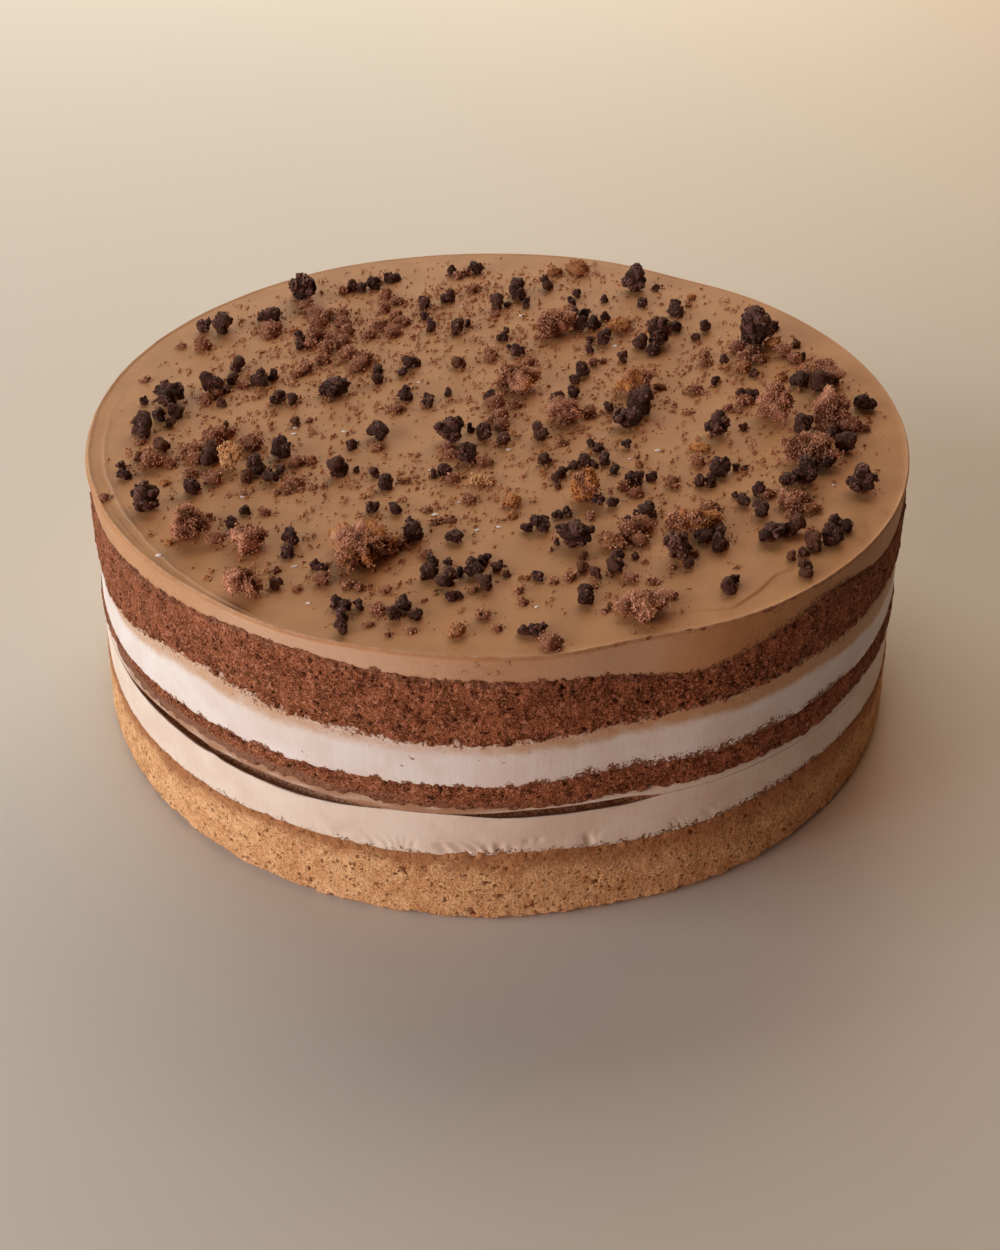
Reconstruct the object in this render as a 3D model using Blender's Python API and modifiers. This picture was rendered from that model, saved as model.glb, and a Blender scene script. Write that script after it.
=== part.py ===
"""A round layer cake: a golden base sponge, two cocoa sponges, three layers of cream and a scatter of
crumbs, the largest of which are pieces of their own.

Each layer is turned as a true disc with level faces. One smooth field, the unevenness of the cut side, then
moves every vertex, so that neighbouring layers stay parallel and keep their gap. The loose crumbs are balls
swollen by lobes, which rest on the top cream.

Metres, +Z up. The origin is the middle of the base, and the cake's best side faces -Y.
"""

import math

import bmesh
import bpy
import numpy as np

MM = 0.001

# Driving dimensions
TOP_RADIUS = 115.0 * MM
BASE_RADIUS = 118.8 * MM
CAKE_HEIGHT = 81.2 * MM
GAP = 0.3 * MM                  # clearance between pieces that touch
SEGMENTS = 64                   # facets round each layer
LEVEL_SHARE = 0.72              # inside this share of the radius, every layer is level

# Mean heights of the joins, from the base up
BASE_SPONGE_TOP = 20.5 * MM
LOWER_CREAM_TOP = 36.4 * MM
MIDDLE_SPONGE_TOP = 42.2 * MM
UPPER_CREAM_TOP = 57.2 * MM
TOP_SPONGE_TOP = 73.5 * MM

# The slit where the middle sponge has lifted off the lower cream
SLIT_HEIGHT = 34.4 * MM         # mean height of its middle
SLIT_LIPS = 1.3 * MM            # from its middle to either lip
SLIT_DEPTH = 6.0 * MM           # where it gapes widest
SLIT_CREASE = 0.4 * MM          # depth of the crease where it is closed

# The rolled lip that the palette knife left round the top cream
LIP_WIDTH = 5.0 * MM
LIP_RISE = 0.4 * MM             # where the rim is plain
GROOVE_DROP = 0.3 * MM          # behind the lip

SPONGE_PROUD = 0.4 * MM         # the wiped cream lies this far inside the sponges' sides
FOOT_TUCK = 1.4 * MM            # the base sponge's lower edge is drawn in by this much

# Unevenness round the side. Each swell is (bearing, width, rise): the bearing and the width in degrees,
# the bearing from the front towards the right, and the rise in mm.
JOIN_SWELLS = (
    (0.0, ()),
    (BASE_SPONGE_TOP, ((-52, 22, -1.2), (6, 8, 1.4), (43, 16, 1.8), (150, 35, 1.2), (-140, 30, -0.9))),
    (LOWER_CREAM_TOP, ((-46, 8, 0.8), (9, 9, 0.4), (45, 15, -1.8), (72, 12, -2.4), (170, 40, 1.0))),
    (MIDDLE_SPONGE_TOP, ((-66, 16, -3.2), (14, 12, 1.6), (36, 6, 0.8), (50, 4, 0.8), (-160, 35, 1.4))),
    (UPPER_CREAM_TOP, ((-66, 14, -5.2), (-41, 8, 2.8), (-8, 13, -1.8), (20, 12, 0.8), (44, 26, 2.0), (140, 30, -1.6))),
    (TOP_SPONGE_TOP, ((-28, 15, 2.8), (-63, 8, -1.2), (25, 10, -5.6), (47, 6, 2.4), (64, 8, -2.8), (-120, 30, 1.6))),
    (CAKE_HEIGHT, ()),
)
TOP_SIDE_SWELLS = ((18, 9, -2.6), (-25, 9, 1.0), (60, 14, 0.6), (148, 10, -2.0), (-150, 14, 0.8))
BASE_SIDE_SWELLS = ((-33, 20, 0.6), (14, 9, -1.2), (105, 25, 0.5), (-120, 25, -0.5))
SLIT_GAPES = ((-42, 22, 1.0), (9, 10, 0.6))
LIP_SWELLS = ((-62, 34, 0.9), (20, 16, 0.3), (-160, 40, 0.5))

# The largest crumbs: place x and y, length, width and height in mm, and the turn in degrees
SPONGE_CHUNKS = (
    (84, -25, 16, 13, 6.5, 15),
    (94.5, -3.5, 12, 11.5, 10.5, 80),
    (79.5, 1.5, 11, 10, 10, 60),
    (95.5, 22, 14, 9, 6.5, -15),
    (-32.5, -75, 20, 20, 7, 10),
    (-76.5, -66, 12, 9.5, 7.5, 110),
    (-62, -69, 9.5, 10, 5.5, 70),
    (-60, -89.5, 10, 8.5, 7.5, 130),
    (49.5, -60, 16.5, 9, 6, 0),
    (35, -97, 15.5, 10, 4.5, 0),
    (19, -2.5, 11.5, 9.5, 6, 160),
    (16.5, 52, 15.5, 11, 6.5, 20),
    (77, -49, 9, 9, 4, 50),
    (40, 13.5, 11, 12.5, 6.5, 120),
    (23, -45, 10, 8, 7.5, 95),
    (4, 17.5, 14, 13, 6.5, 35),
)
COCOA_NUGGETS = (
    (-94.5, 5.5, 8.5, 10, 6, 100),
    (36.5, -6.5, 9.5, 8, 5, 150),
    (20, -67.5, 9.5, 8.5, 6, 30),
    (79.5, 46.5, 11, 11, 11.5, 70),
    (49.5, 46, 9, 7, 8.5, 60),
    (45, 86, 8, 9.5, 8, 90),
    (-63, 76.5, 8, 9, 8.5, 90),
    (-47.5, 11.5, 11, 8, 5, 20),
    (-13.5, -16, 7.5, 8.5, 7, 90),
    (96.5, -41, 9.5, 8, 7, 40),
    (-90.5, -51.5, 8, 7, 7, 120),
    (61, -10.5, 7, 6.5, 7, 0),
    (45, -72.5, 7, 7, 7, 75),
    (69, -64.5, 9, 6.5, 4, 10),
    (82.5, -36.5, 6.5, 7, 7.5, 140),
)
FLAT_SHARE = 0.10               # of a crumb's height is lost to the flat that it rests on
LOBE_COUNT = 10
LOBE_SHARPNESS = 9.0
LOBE_RISE = (0.2, 0.6)          # as a share of the crumb's radius


def clear_scene():
    """Empty the file, so that the script can be run again in one that already holds the cake."""
    for old in list(bpy.data.objects):
        bpy.data.objects.remove(old, do_unlink=True)


def crumb_material(name, colour, roughness):
    """A matt food surface: colour is linear red, green and blue."""
    material = bpy.data.materials.new(name)
    material.use_nodes = True
    shader = material.node_tree.nodes["Principled BSDF"]
    shader.inputs["Base Color"].default_value = (*colour, 1.0)
    shader.inputs["Roughness"].default_value = roughness
    shader.inputs["Metallic"].default_value = 0.0
    material.diffuse_color = (*colour, 1.0)
    return material


def swell(bearing, swells):
    """Sum of bumps round the cake, each rise * exp(-(angle from its middle / width) squared)."""
    total = np.zeros_like(bearing)
    for middle, width, rise in swells:
        apart = (bearing - middle + 180.0) % 360.0 - 180.0
        total += rise * np.exp(-((apart / width) ** 2))
    return total


def side_radius(height):
    """The side leans in evenly from the base to the top."""
    return BASE_RADIUS + (TOP_RADIUS - BASE_RADIUS) * height / CAKE_HEIGHT


def between_joins(height, bearing):
    """The rise of the cut at any height: linear between the swells of the joins below and above."""
    levels = [level for level, swells in JOIN_SWELLS]
    rises = np.array([swell(bearing, swells) for level, swells in JOIN_SWELLS]) * MM
    above = np.clip(np.searchsorted(levels, height, side="left"), 1, len(levels) - 1)
    lower = np.take(levels, above - 1)
    share = np.clip((height - lower) / (np.take(levels, above) - lower), 0.0, 1.0)
    columns = np.arange(len(height))
    return rises[above - 1, columns] * (1.0 - share) + rises[above, columns] * share


def uneven(points):
    """Move turned vertices to the uneven cake: heights by the joins' swells, fading to level towards the
    middle, and radii by the sides' swells, which pass from the base's to the top's with height."""
    x, y, height = points.T
    radius = np.hypot(x, y)
    bearing = np.degrees(np.arctan2(x, -y))
    outward = np.clip((radius / side_radius(height) - LEVEL_SHARE) / (1.0 - LEVEL_SHARE), 0.0, 1.0)

    lift = between_joins(height, bearing) * outward
    high = np.clip(height / CAKE_HEIGHT, 0.0, 1.0)
    side = swell(bearing, TOP_SIDE_SWELLS) * high ** 2 + swell(bearing, BASE_SIDE_SWELLS) * (1.0 - high)
    push = side * MM * outward

    in_slit = np.isclose(height, SLIT_HEIGHT, atol=0.1 * MM) & (outward > 0.5)
    gape = np.clip(swell(bearing, SLIT_GAPES), 0.0, 1.0)
    push = push + np.where(in_slit, (SLIT_DEPTH - SLIT_CREASE) * (1.0 - gape), 0.0)

    on_lip = height > CAKE_HEIGHT + 0.5 * LIP_RISE
    lift = lift + np.where(on_lip, swell(bearing, LIP_SWELLS) * MM, 0.0)

    away = np.where(radius > 0.0, (radius + push) / np.maximum(radius, GAP), 1.0)
    return np.column_stack((x * away, y * away, height + lift))


def split_alike(mesh):
    """Cut each four-sided facet from the clockwise one of its two inner corners, so that the facets of two
    layers match across their gap, however much the facets are bent."""
    shape = bmesh.new()
    shape.from_mesh(mesh)
    for facet in list(shape.faces):
        if len(facet.verts) == 4:
            middle = facet.calc_center_median()
            inner = sorted(facet.verts, key=lambda corner: corner.co.xy.length)[:2]
            start = min(inner, key=lambda corner: middle.cross(corner.co).z)
            opposite = facet.verts[(list(facet.verts).index(start) + 2) % 4]
            bmesh.utils.face_split(facet, start, opposite)
    shape.to_mesh(mesh)
    shape.free()


def turned_layer(name, outline, material, collection):
    """Turn a half outline, given from the middle of the top down to the middle of the base."""
    mesh = bpy.data.meshes.new(name)
    rows = [(radius, 0.0, height) for radius, height in outline]
    mesh.from_pydata(rows, [(row, row + 1) for row in range(len(rows) - 1)], [])
    layer = bpy.data.objects.new(name, mesh)
    collection.objects.link(layer)

    screw = layer.modifiers.new("Turn", "SCREW")
    screw.steps = SEGMENTS
    screw.render_steps = SEGMENTS
    screw.use_merge_vertices = True
    screw.merge_threshold = 0.01 * MM

    graph = bpy.context.evaluated_depsgraph_get()
    turned = bpy.data.meshes.new_from_object(layer.evaluated_get(graph))
    layer.modifiers.clear()
    layer.data = turned
    bpy.data.meshes.remove(mesh)
    turned.name = name
    split_alike(turned)

    points = np.empty(len(turned.vertices) * 3)
    turned.vertices.foreach_get("co", points)
    turned.vertices.foreach_set("co", uneven(points.reshape(-1, 3)).ravel())
    turned.shade_smooth()
    turned.set_sharp_from_angle(angle=math.radians(35.0))
    turned.materials.append(material)
    return layer


def disc(bottom, top, inset=0.0, edge=()):
    """Half outline of a layer: level top, a side that may carry more points, level base."""
    top_edge = side_radius(top) - inset
    bottom_edge = side_radius(bottom) - inset
    level = LEVEL_SHARE * TOP_RADIUS
    over = [(0.0, top), (level, top), (top_edge, top)]
    under = [(bottom_edge, bottom), (level, bottom), (0.0, bottom)]
    return [*over, *edge, *under]


def base_sponge_outline():
    """The base sponge, its lower edge drawn in all round, flat where it rests."""
    top = BASE_SPONGE_TOP - GAP / 2
    middle = 0.5 * BASE_SPONGE_TOP
    over = [(0.0, top), (LEVEL_SHARE * TOP_RADIUS, top), (side_radius(top), top)]
    side = [(side_radius(middle), middle), (side_radius(FOOT_TUCK), FOOT_TUCK)]
    return [*over, *side, (BASE_RADIUS - FOOT_TUCK, 0.0), (0.0, 0.0)]


def lower_cream_outline():
    """The lower cream, with the slit as a groove under the film that stayed on the sponge above."""
    slit_radius = side_radius(SLIT_HEIGHT) - SPONGE_PROUD
    slit = [
        (slit_radius, SLIT_HEIGHT + SLIT_LIPS),
        (slit_radius - SLIT_DEPTH, SLIT_HEIGHT),
        (slit_radius, SLIT_HEIGHT - SLIT_LIPS),
    ]
    return disc(BASE_SPONGE_TOP + GAP / 2, LOWER_CREAM_TOP - GAP / 2, SPONGE_PROUD, slit)


def top_cream_outline():
    """The top cream: a level face, a groove, the rolled lip, and its wiped side."""
    bottom = TOP_SPONGE_TOP + GAP / 2
    rim = TOP_RADIUS
    face = [(0.0, CAKE_HEIGHT), (LEVEL_SHARE * TOP_RADIUS, CAKE_HEIGHT), (rim - 1.4 * LIP_WIDTH, CAKE_HEIGHT)]
    lip = [
        (rim - LIP_WIDTH, CAKE_HEIGHT - GROOVE_DROP),
        (rim - 0.45 * LIP_WIDTH, CAKE_HEIGHT + LIP_RISE),
        (rim, CAKE_HEIGHT - LIP_RISE),
    ]
    under = [(side_radius(bottom) - SPONGE_PROUD, bottom), (LEVEL_SHARE * TOP_RADIUS, bottom), (0.0, bottom)]
    return [*face, *lip, *under]


def loose_crumb(name, sizes, seed, material, collection):
    """A ball whose radius is 1 plus lobes of rise * exp(-LOBE_SHARPNESS * (1 - cosine)) about random
    directions, fitted to the crumb's length, width and height, then cut flat where it rests on the cream."""
    x, y, length, width, height, turn = sizes
    draw = np.random.default_rng(seed)
    shape = bmesh.new()
    bmesh.ops.create_uvsphere(shape, u_segments=14, v_segments=9, radius=1.0)
    mesh = bpy.data.meshes.new(name)
    shape.to_mesh(mesh)
    shape.free()

    points = np.empty(len(mesh.vertices) * 3)
    mesh.vertices.foreach_get("co", points)
    points = points.reshape(-1, 3)
    lobes = draw.normal(size=(LOBE_COUNT, 3))
    lobes /= np.linalg.norm(lobes, axis=1, keepdims=True)
    rises = draw.uniform(*LOBE_RISE, LOBE_COUNT)
    swelling = np.exp(-LOBE_SHARPNESS * (1.0 - points @ lobes.T)) @ rises
    points = points * (1.0 + swelling)[:, None]

    low = points.min(axis=0)
    span = points.max(axis=0) - low
    points = ((points - low) / span - 0.5) * np.array((length, width, height / (1.0 - FLAT_SHARE))) * MM
    floor = points[:, 2].min() + FLAT_SHARE / (1.0 - FLAT_SHARE) * height * MM
    points[:, 2] = np.maximum(points[:, 2], floor) - floor + CAKE_HEIGHT + GAP
    angle = math.radians(turn)
    east = points[:, 0] * math.cos(angle) - points[:, 1] * math.sin(angle)
    north = points[:, 0] * math.sin(angle) + points[:, 1] * math.cos(angle)
    points = np.column_stack((east + x * MM, north + y * MM, points[:, 2]))
    mesh.vertices.foreach_set("co", points.ravel())

    mesh.shade_smooth()
    mesh.set_sharp_from_angle(angle=math.radians(50.0))
    mesh.materials.append(material)
    crumb = bpy.data.objects.new(name, mesh)
    collection.objects.link(crumb)


def build_cake():
    """Make the collection, the materials, the six layers and the largest crumbs."""
    clear_scene()
    cake = bpy.data.collections.new("layer_cake")
    bpy.context.scene.collection.children.link(cake)

    golden = crumb_material("golden sponge", (0.48, 0.26, 0.11), 0.9)
    cocoa = crumb_material("cocoa sponge", (0.13, 0.050, 0.028), 0.9)
    pale = crumb_material("pale cream", (0.68, 0.53, 0.42), 0.55)
    mocha = crumb_material("mocha cream", (0.30, 0.155, 0.080), 0.45)
    nugget = crumb_material("dark cocoa crumb", (0.030, 0.014, 0.010), 0.7)

    turned_layer("base_sponge", base_sponge_outline(), golden, cake)
    turned_layer("lower_cream", lower_cream_outline(), pale, cake)
    middle = disc(LOWER_CREAM_TOP + GAP / 2, MIDDLE_SPONGE_TOP - GAP / 2)
    turned_layer("middle_sponge", middle, cocoa, cake)
    upper = disc(MIDDLE_SPONGE_TOP + GAP / 2, UPPER_CREAM_TOP - GAP / 2, SPONGE_PROUD)
    turned_layer("upper_cream", upper, pale, cake)
    top = disc(UPPER_CREAM_TOP + GAP / 2, TOP_SPONGE_TOP - GAP / 2)
    turned_layer("top_sponge", top, cocoa, cake)
    turned_layer("top_cream", top_cream_outline(), mocha, cake)

    for number, sizes in enumerate(SPONGE_CHUNKS, start=1):
        loose_crumb(f"sponge_chunk_{number:02d}", sizes, number, cocoa, cake)
    for number, sizes in enumerate(COCOA_NUGGETS, start=1):
        loose_crumb(f"cocoa_nugget_{number:02d}", sizes, 100 + number, nugget, cake)


build_cake()
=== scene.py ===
"""The looks of a whole round layer cake: porous sponges, knife-wiped creams, a spread top with a rolled lip,
and a scatter of dark and soft cocoa crumbs. Lengths are in metres, and z is up."""

import bpy
import numpy as np
from mathutils import Matrix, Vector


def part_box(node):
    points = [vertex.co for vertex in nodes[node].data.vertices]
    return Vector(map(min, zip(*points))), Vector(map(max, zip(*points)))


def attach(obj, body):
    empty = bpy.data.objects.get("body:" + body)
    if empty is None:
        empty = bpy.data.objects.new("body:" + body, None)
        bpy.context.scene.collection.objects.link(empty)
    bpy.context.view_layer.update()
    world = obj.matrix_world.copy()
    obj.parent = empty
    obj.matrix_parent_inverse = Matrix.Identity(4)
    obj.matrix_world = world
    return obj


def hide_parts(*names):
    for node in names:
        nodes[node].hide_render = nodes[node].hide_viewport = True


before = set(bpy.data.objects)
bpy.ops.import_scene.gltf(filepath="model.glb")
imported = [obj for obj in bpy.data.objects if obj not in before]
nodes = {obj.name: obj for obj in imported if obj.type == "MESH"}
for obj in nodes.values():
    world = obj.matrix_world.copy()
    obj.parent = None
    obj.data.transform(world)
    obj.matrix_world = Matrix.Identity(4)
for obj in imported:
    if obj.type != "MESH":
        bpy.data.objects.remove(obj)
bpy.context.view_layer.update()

# ---------------------------------------------------------------------------------------------- the view
# The cake is seen from in front, looking down on it. Two windows light it, a broad one behind it and one at
# its left, and two warm lamps; the room itself is all but dark.

MM = 0.001
CAMERA_AT = (0.0009, -0.3989, 0.2978)
LOOKS_DOWN = np.radians(36.13)
LEANS = np.radians(0.38)

lens = bpy.data.cameras.new("camera")
lens.lens = 45.36
lens.sensor_width = 36.0
camera = bpy.data.objects.new("camera", lens)
tilt = Matrix.Rotation(np.pi / 2 - LOOKS_DOWN, 4, "X")
camera.matrix_world = Matrix.Translation(CAMERA_AT) @ tilt @ Matrix.Rotation(LEANS, 4, "Z")
bpy.context.scene.collection.objects.link(camera)
bpy.context.scene.camera = camera

LIGHTS_AIM_AT = (0.0, 0.0, 0.05)
LIGHTS_AWAY = (0.0, 0.0, 1.5)           # along the line that they shine on


def soft_light(name, size, bearing, climb, power, colour):
    """A square area light of that size: its bearing from the front towards the right, and how high it
    stands, both in degrees."""
    light = bpy.data.lights.new(name, "AREA")
    light.size = size
    light.energy = power
    light.color = colour
    lamp = bpy.data.objects.new(name, light)
    turned = Matrix.Rotation(np.radians(bearing), 4, "Z") @ Matrix.Rotation(np.radians(90.0 - climb), 4, "X")
    lamp.matrix_world = Matrix.Translation(LIGHTS_AIM_AT) @ turned @ Matrix.Translation(LIGHTS_AWAY)
    bpy.context.scene.collection.objects.link(lamp)


soft_light("window behind", size=1.7, bearing=-168.0, climb=32.0, power=21.0, colour=(0.97, 0.98, 0.86))
soft_light("window left", size=1.0, bearing=-72.0, climb=18.0, power=13.6, colour=(0.82, 0.97, 1.0))
soft_light("lamp front left", size=1.0, bearing=-40.0, climb=18.0, power=10.0, colour=(1.0, 0.67, 0.54))
soft_light("lamp behind right", size=1.0, bearing=150.0, climb=35.0, power=5.6, colour=(1.0, 0.48, 0.18))
bpy.context.scene.view_settings.view_transform = "Standard"

world = bpy.data.worlds.new("room")
world.use_nodes = True
room = world.node_tree.nodes["Background"]
room.inputs["Color"].default_value = (1.0, 0.64, 0.38, 1.0)
room.inputs["Strength"].default_value = 0.01
bpy.context.scene.world = world

FLOOR_REACH = 4.0
FLOOR_LEVEL = -0.2 * MM
floor_corners = [(east * FLOOR_REACH, north * FLOOR_REACH, FLOOR_LEVEL)
                 for east, north in ((-1, -1), (1, -1), (1, 1), (-1, 1))]
floor_mesh = bpy.data.meshes.new("floor")
floor_mesh.from_pydata(floor_corners, [], [(0, 1, 2, 3)])
floor = bpy.data.objects.new("floor", floor_mesh)
bpy.context.scene.collection.objects.link(floor)
pale_floor = bpy.data.materials.new("pale floor")
pale_floor.use_nodes = True
floor_shader = pale_floor.node_tree.nodes["Principled BSDF"]
floor_shader.inputs["Base Color"].default_value = (0.66, 0.60, 0.54, 1.0)
floor_shader.inputs["Roughness"].default_value = 0.7
floor_mesh.materials.append(pale_floor)

# ------------------------------------------------------------------------------------------- base sponge
# A golden whisked sponge, baked in a ring and trimmed. Its cut side is an even open crumb of fine holes, and
# the cream above has soaked its top few millimetres brown. It stands on its slightly tucked bottom edge.

CM = 0.01
CAD_FACETS = 64
EDGE_SHARE = 0.985                      # a CAD point beyond this share of the radius is on the outer edge
LATTICE = 32
LEVEL_SHARE = 0.72                      # the layers are level inside this share of the radius
OVERLAP = 1.3 * MM                      # each layer runs this far behind its neighbour at a join
JOIN_BEND = 0.8 * MM                    # inside a join, where a side starts to fall back


def cad_points(node):
    """A CAD node's points."""
    mesh = nodes[node].data
    points = np.empty(len(mesh.vertices) * 3)
    mesh.vertices.foreach_get("co", points)
    return points.reshape(-1, 3)


def rim(node, upper, columns):
    """A CAD layer's upper or lower outer edge round the cake: radius and height. They are known at its
    facets and made finer by the sum of waves that passes through all of those."""
    points = cad_points(node)
    radius = np.hypot(points[:, 0], points[:, 1])
    turn = np.arctan2(points[:, 1], points[:, 0])
    facet = np.rint(turn / (2 * np.pi) * CAD_FACETS).astype(int) % CAD_FACETS
    widest = np.zeros(CAD_FACETS)
    np.maximum.at(widest, facet, radius)
    outer = radius > EDGE_SHARE * widest[facet]
    points, radius, facet = points[outer], radius[outer], facet[outer]
    order = np.argsort(points[:, 2] if upper else -points[:, 2])
    edge = np.zeros((2, CAD_FACETS))
    edge[0, facet[order]] = radius[order]
    edge[1, facet[order]] = points[order, 2]
    return np.fft.irfft(np.fft.rfft(edge), n=columns) * (columns / CAD_FACETS)


def between_rims(upper_rim, lower_rim, height):
    """Radius at a height, on the straight line between two rims."""
    (upper_radius, upper), (lower_radius, lower) = upper_rim, lower_rim
    return lower_radius + (upper_radius - lower_radius) * (height - lower) / (upper - lower)


def bearing_of(turn):
    """Degrees from the cake's front towards the right, from -180 to 180, for a turn from +X."""
    return (np.degrees(turn) + 270.0) % 360.0 - 180.0


def peak(value, middle, width):
    """1 where a value is at the middle, falling off beside it: exp(-(difference / width) squared)."""
    return np.exp(-((value - middle) / width) ** 2)


def swell(bearing, *swells):
    """Sum of bumps round the cake, each a peak at a middle, of a width, times a rise."""
    total = np.zeros_like(bearing)
    for middle, width, rise in swells:
        total = total + rise * peak((bearing - middle + 180.0) % 360.0, 180.0, width)
    return total


def eased(value, low, high):
    """0 below low and 1 above high, with a smooth s between them."""
    share = np.clip((value - low) / (high - low), 0.0, 1.0)
    return share * share * (3.0 - 2.0 * share)


def clouds(points, size, seed):
    """Smooth random field from -1 to 1: random values at a lattice of that size (a length, or one for each
    axis), blended by an s-curve between the eight nearest."""
    table = np.random.default_rng(seed).uniform(-1.0, 1.0, (LATTICE,) * 3)
    at = points / size + 0.37 * LATTICE
    low = np.floor(at).astype(int)
    part = at - low
    part = part * part * (3.0 - 2.0 * part)
    total = np.zeros(points.shape[:-1])
    for corner in np.ndindex(2, 2, 2):
        weight = np.prod(np.where(corner, part, 1.0 - part), axis=-1)
        east, north, up = np.moveaxis((low + corner) % LATTICE, -1, 0)
        total += weight * table[east, north, up]
    return total


def layered(points, *fields):
    """Sum of clouds, each given by its share, its size in mm and its seed."""
    return sum(share * clouds(points, np.multiply(size, MM), seed) for share, size, seed in fields)


def wall(node, columns, row):
    """A layer's side as a grid, straight between its two rims and OVERLAP longer at each: turn, radius,
    height, and how far each point is inside the upper and the lower join."""
    turn = 2 * np.pi * np.arange(columns) / columns
    upper_rim = rim(node, True, columns)
    lower_rim = rim(node, False, columns)
    upper, lower = upper_rim[1], lower_rim[1]
    rows = int(round((np.mean(upper - lower) + 2 * OVERLAP) / row)) + 1
    share = np.linspace(0.0, 1.0, rows)[:, None]
    height = (upper + OVERLAP) * (1.0 - share) + (lower - OVERLAP) * share
    return turn, between_rims(upper_rim, lower_rim, height), height, upper - height, height - lower


def drawn_in(inside, depth):
    """How far a side falls back at its end: depth * (share of the way out) squared, the way out starting
    JOIN_BEND inside the join and ending OVERLAP outside it."""
    return depth * np.clip((JOIN_BEND - inside) / (JOIN_BEND + OVERLAP), 0.0, 1.0) ** 2


def holes(shape, step, per_cm2, radii, seed):
    """Round-bottomed holes over a side's grid, which joins up behind the cake: 1 - (distance / radius)
    squared at each hole, less for the small ones, and the deepest wins."""
    rows, columns = shape
    draw = np.random.default_rng(seed)
    count = int(rows * columns * (step / CM) ** 2 * per_cm2)
    smallest, largest = radii
    radius = smallest * (largest / smallest) ** (draw.random(count) ** 2.2)
    row = draw.uniform(0, rows, count)
    column = draw.uniform(0, columns, count)
    longer = draw.uniform(0.75, 1.35, count)
    reach = int(np.ceil(1.4 * largest / step))
    offset = np.arange(-reach, reach + 1)
    rows_near = (np.floor(row)[:, None, None] + offset[None, :, None]).astype(int)
    columns_near = (np.floor(column)[:, None, None] + offset[None, None, :]).astype(int)
    up = (rows_near - row[:, None, None]) * step * longer[:, None, None]
    along = (columns_near - column[:, None, None]) * step / longer[:, None, None]
    inside = 1.0 - (up ** 2 + along ** 2) / radius[:, None, None] ** 2
    depth = np.clip(inside, 0.0, 1.0) * (radius / largest)[:, None, None] ** 0.6
    field = np.zeros((rows, columns))
    rows_near, columns_near = np.broadcast_arrays(rows_near, columns_near % columns)
    on_grid = (rows_near >= 0) & (rows_near < rows) & (inside > 0.0)
    np.maximum.at(field, (rows_near[on_grid], columns_near[on_grid]), depth[on_grid])
    return field


def new_mesh(name, points, *faces):
    """A mesh from arrays: its points, and one array for each number of corners that its faces have."""
    mesh = bpy.data.meshes.new(name)
    mesh.vertices.add(len(points))
    mesh.vertices.foreach_set("co", np.ascontiguousarray(points, dtype=np.float32).ravel())
    corners = np.concatenate([group.ravel() for group in faces])
    counts = np.concatenate([np.full(len(group), group.shape[1]) for group in faces])
    mesh.loops.add(len(corners))
    mesh.loops.foreach_set("vertex_index", corners.astype(np.int32))
    mesh.polygons.add(len(counts))
    mesh.polygons.foreach_set("loop_start", (np.cumsum(counts) - counts).astype(np.int32))
    mesh.update(calc_edges=True)
    mesh.shade_smooth()
    return mesh


def ring_faces(rings):
    """Quads between rings of vertex numbers whose ends join up, facing out when they run outwards and then
    down."""
    beside = np.roll(rings, -1, axis=1)
    return np.stack((rings[:-1], rings[1:], beside[1:], beside[:-1]), -1).reshape(-1, 4)


def fan_faces(ring, pole, upwards):
    """Triangles from a ring of vertex numbers to its pole."""
    beside = np.roll(ring, -1)
    ends = (ring, beside) if upwards else (beside, ring)
    return np.stack((*ends, np.full(len(ring), pole)), -1)


def put_in(name, mesh, material, slot, *replaced):
    """Link a finished piece: it rides on the cake and stands for its CAD nodes. The slot is not used."""
    piece = bpy.data.objects.new(name, mesh)
    bpy.context.scene.collection.objects.link(piece)
    mesh.materials.append(material)
    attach(piece, "root")
    if replaced:
        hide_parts(*replaced)


def give(mesh, **values):
    """Store named numbers on a mesh's vertices, for its material to read."""
    for name, numbers in values.items():
        layer = mesh.attributes.new(name, "FLOAT", "POINT")
        layer.data.foreach_set("value", np.ascontiguousarray(numbers, dtype=np.float32).ravel())


def on_side(radius, turn, height):
    """Points at a radius, a turn from +X and a height."""
    return np.stack((radius * np.cos(turn), radius * np.sin(turn), height), -1)


def layer_shell(name, turn, radius, height, top, bottom):
    """A closed layer: its side, rows from the upper edge down, with a face over and under it that is level,
    at top and at bottom, inside LEVEL_SHARE of the radius. Those faces stop just short of the joins."""
    rows, columns = radius.shape
    inner = np.full(columns, LEVEL_SHARE * radius.mean())
    radii = np.vstack((inner, radius, inner))
    heights = np.vstack((np.full(columns, top), height, np.full(columns, bottom)))
    sides = on_side(radii, turn, heights).reshape(-1, 3)
    rings = np.arange((rows + 2) * columns).reshape(rows + 2, columns)
    over = fan_faces(rings[0], rings.size, True)
    under = fan_faces(rings[-1], rings.size + 1, False)
    points = np.vstack((sides, (0.0, 0.0, top), (0.0, 0.0, bottom)))
    return new_mesh(name, points, ring_faces(rings), np.vstack((over, under)))


def on_shell(side):
    """Numbers over a layer's side, spread to every vertex of its shell, 0 on the hidden faces."""
    none = np.zeros(side.shape[1])
    return np.concatenate((none, side.ravel(), none, (0.0, 0.0)))


def add(tree, kind, inputs=None, **settings):
    """A shader node with its settings, and its inputs by name: a value, or another node's socket."""
    made = tree.nodes.new("ShaderNode" + kind)
    for name, value in settings.items():
        setattr(made, name, value)
    for name, value in (inputs or {}).items():
        if isinstance(value, bpy.types.NodeSocket):
            tree.links.new(value, made.inputs[name])
        else:
            made.inputs[name].default_value = value
    return made


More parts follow.
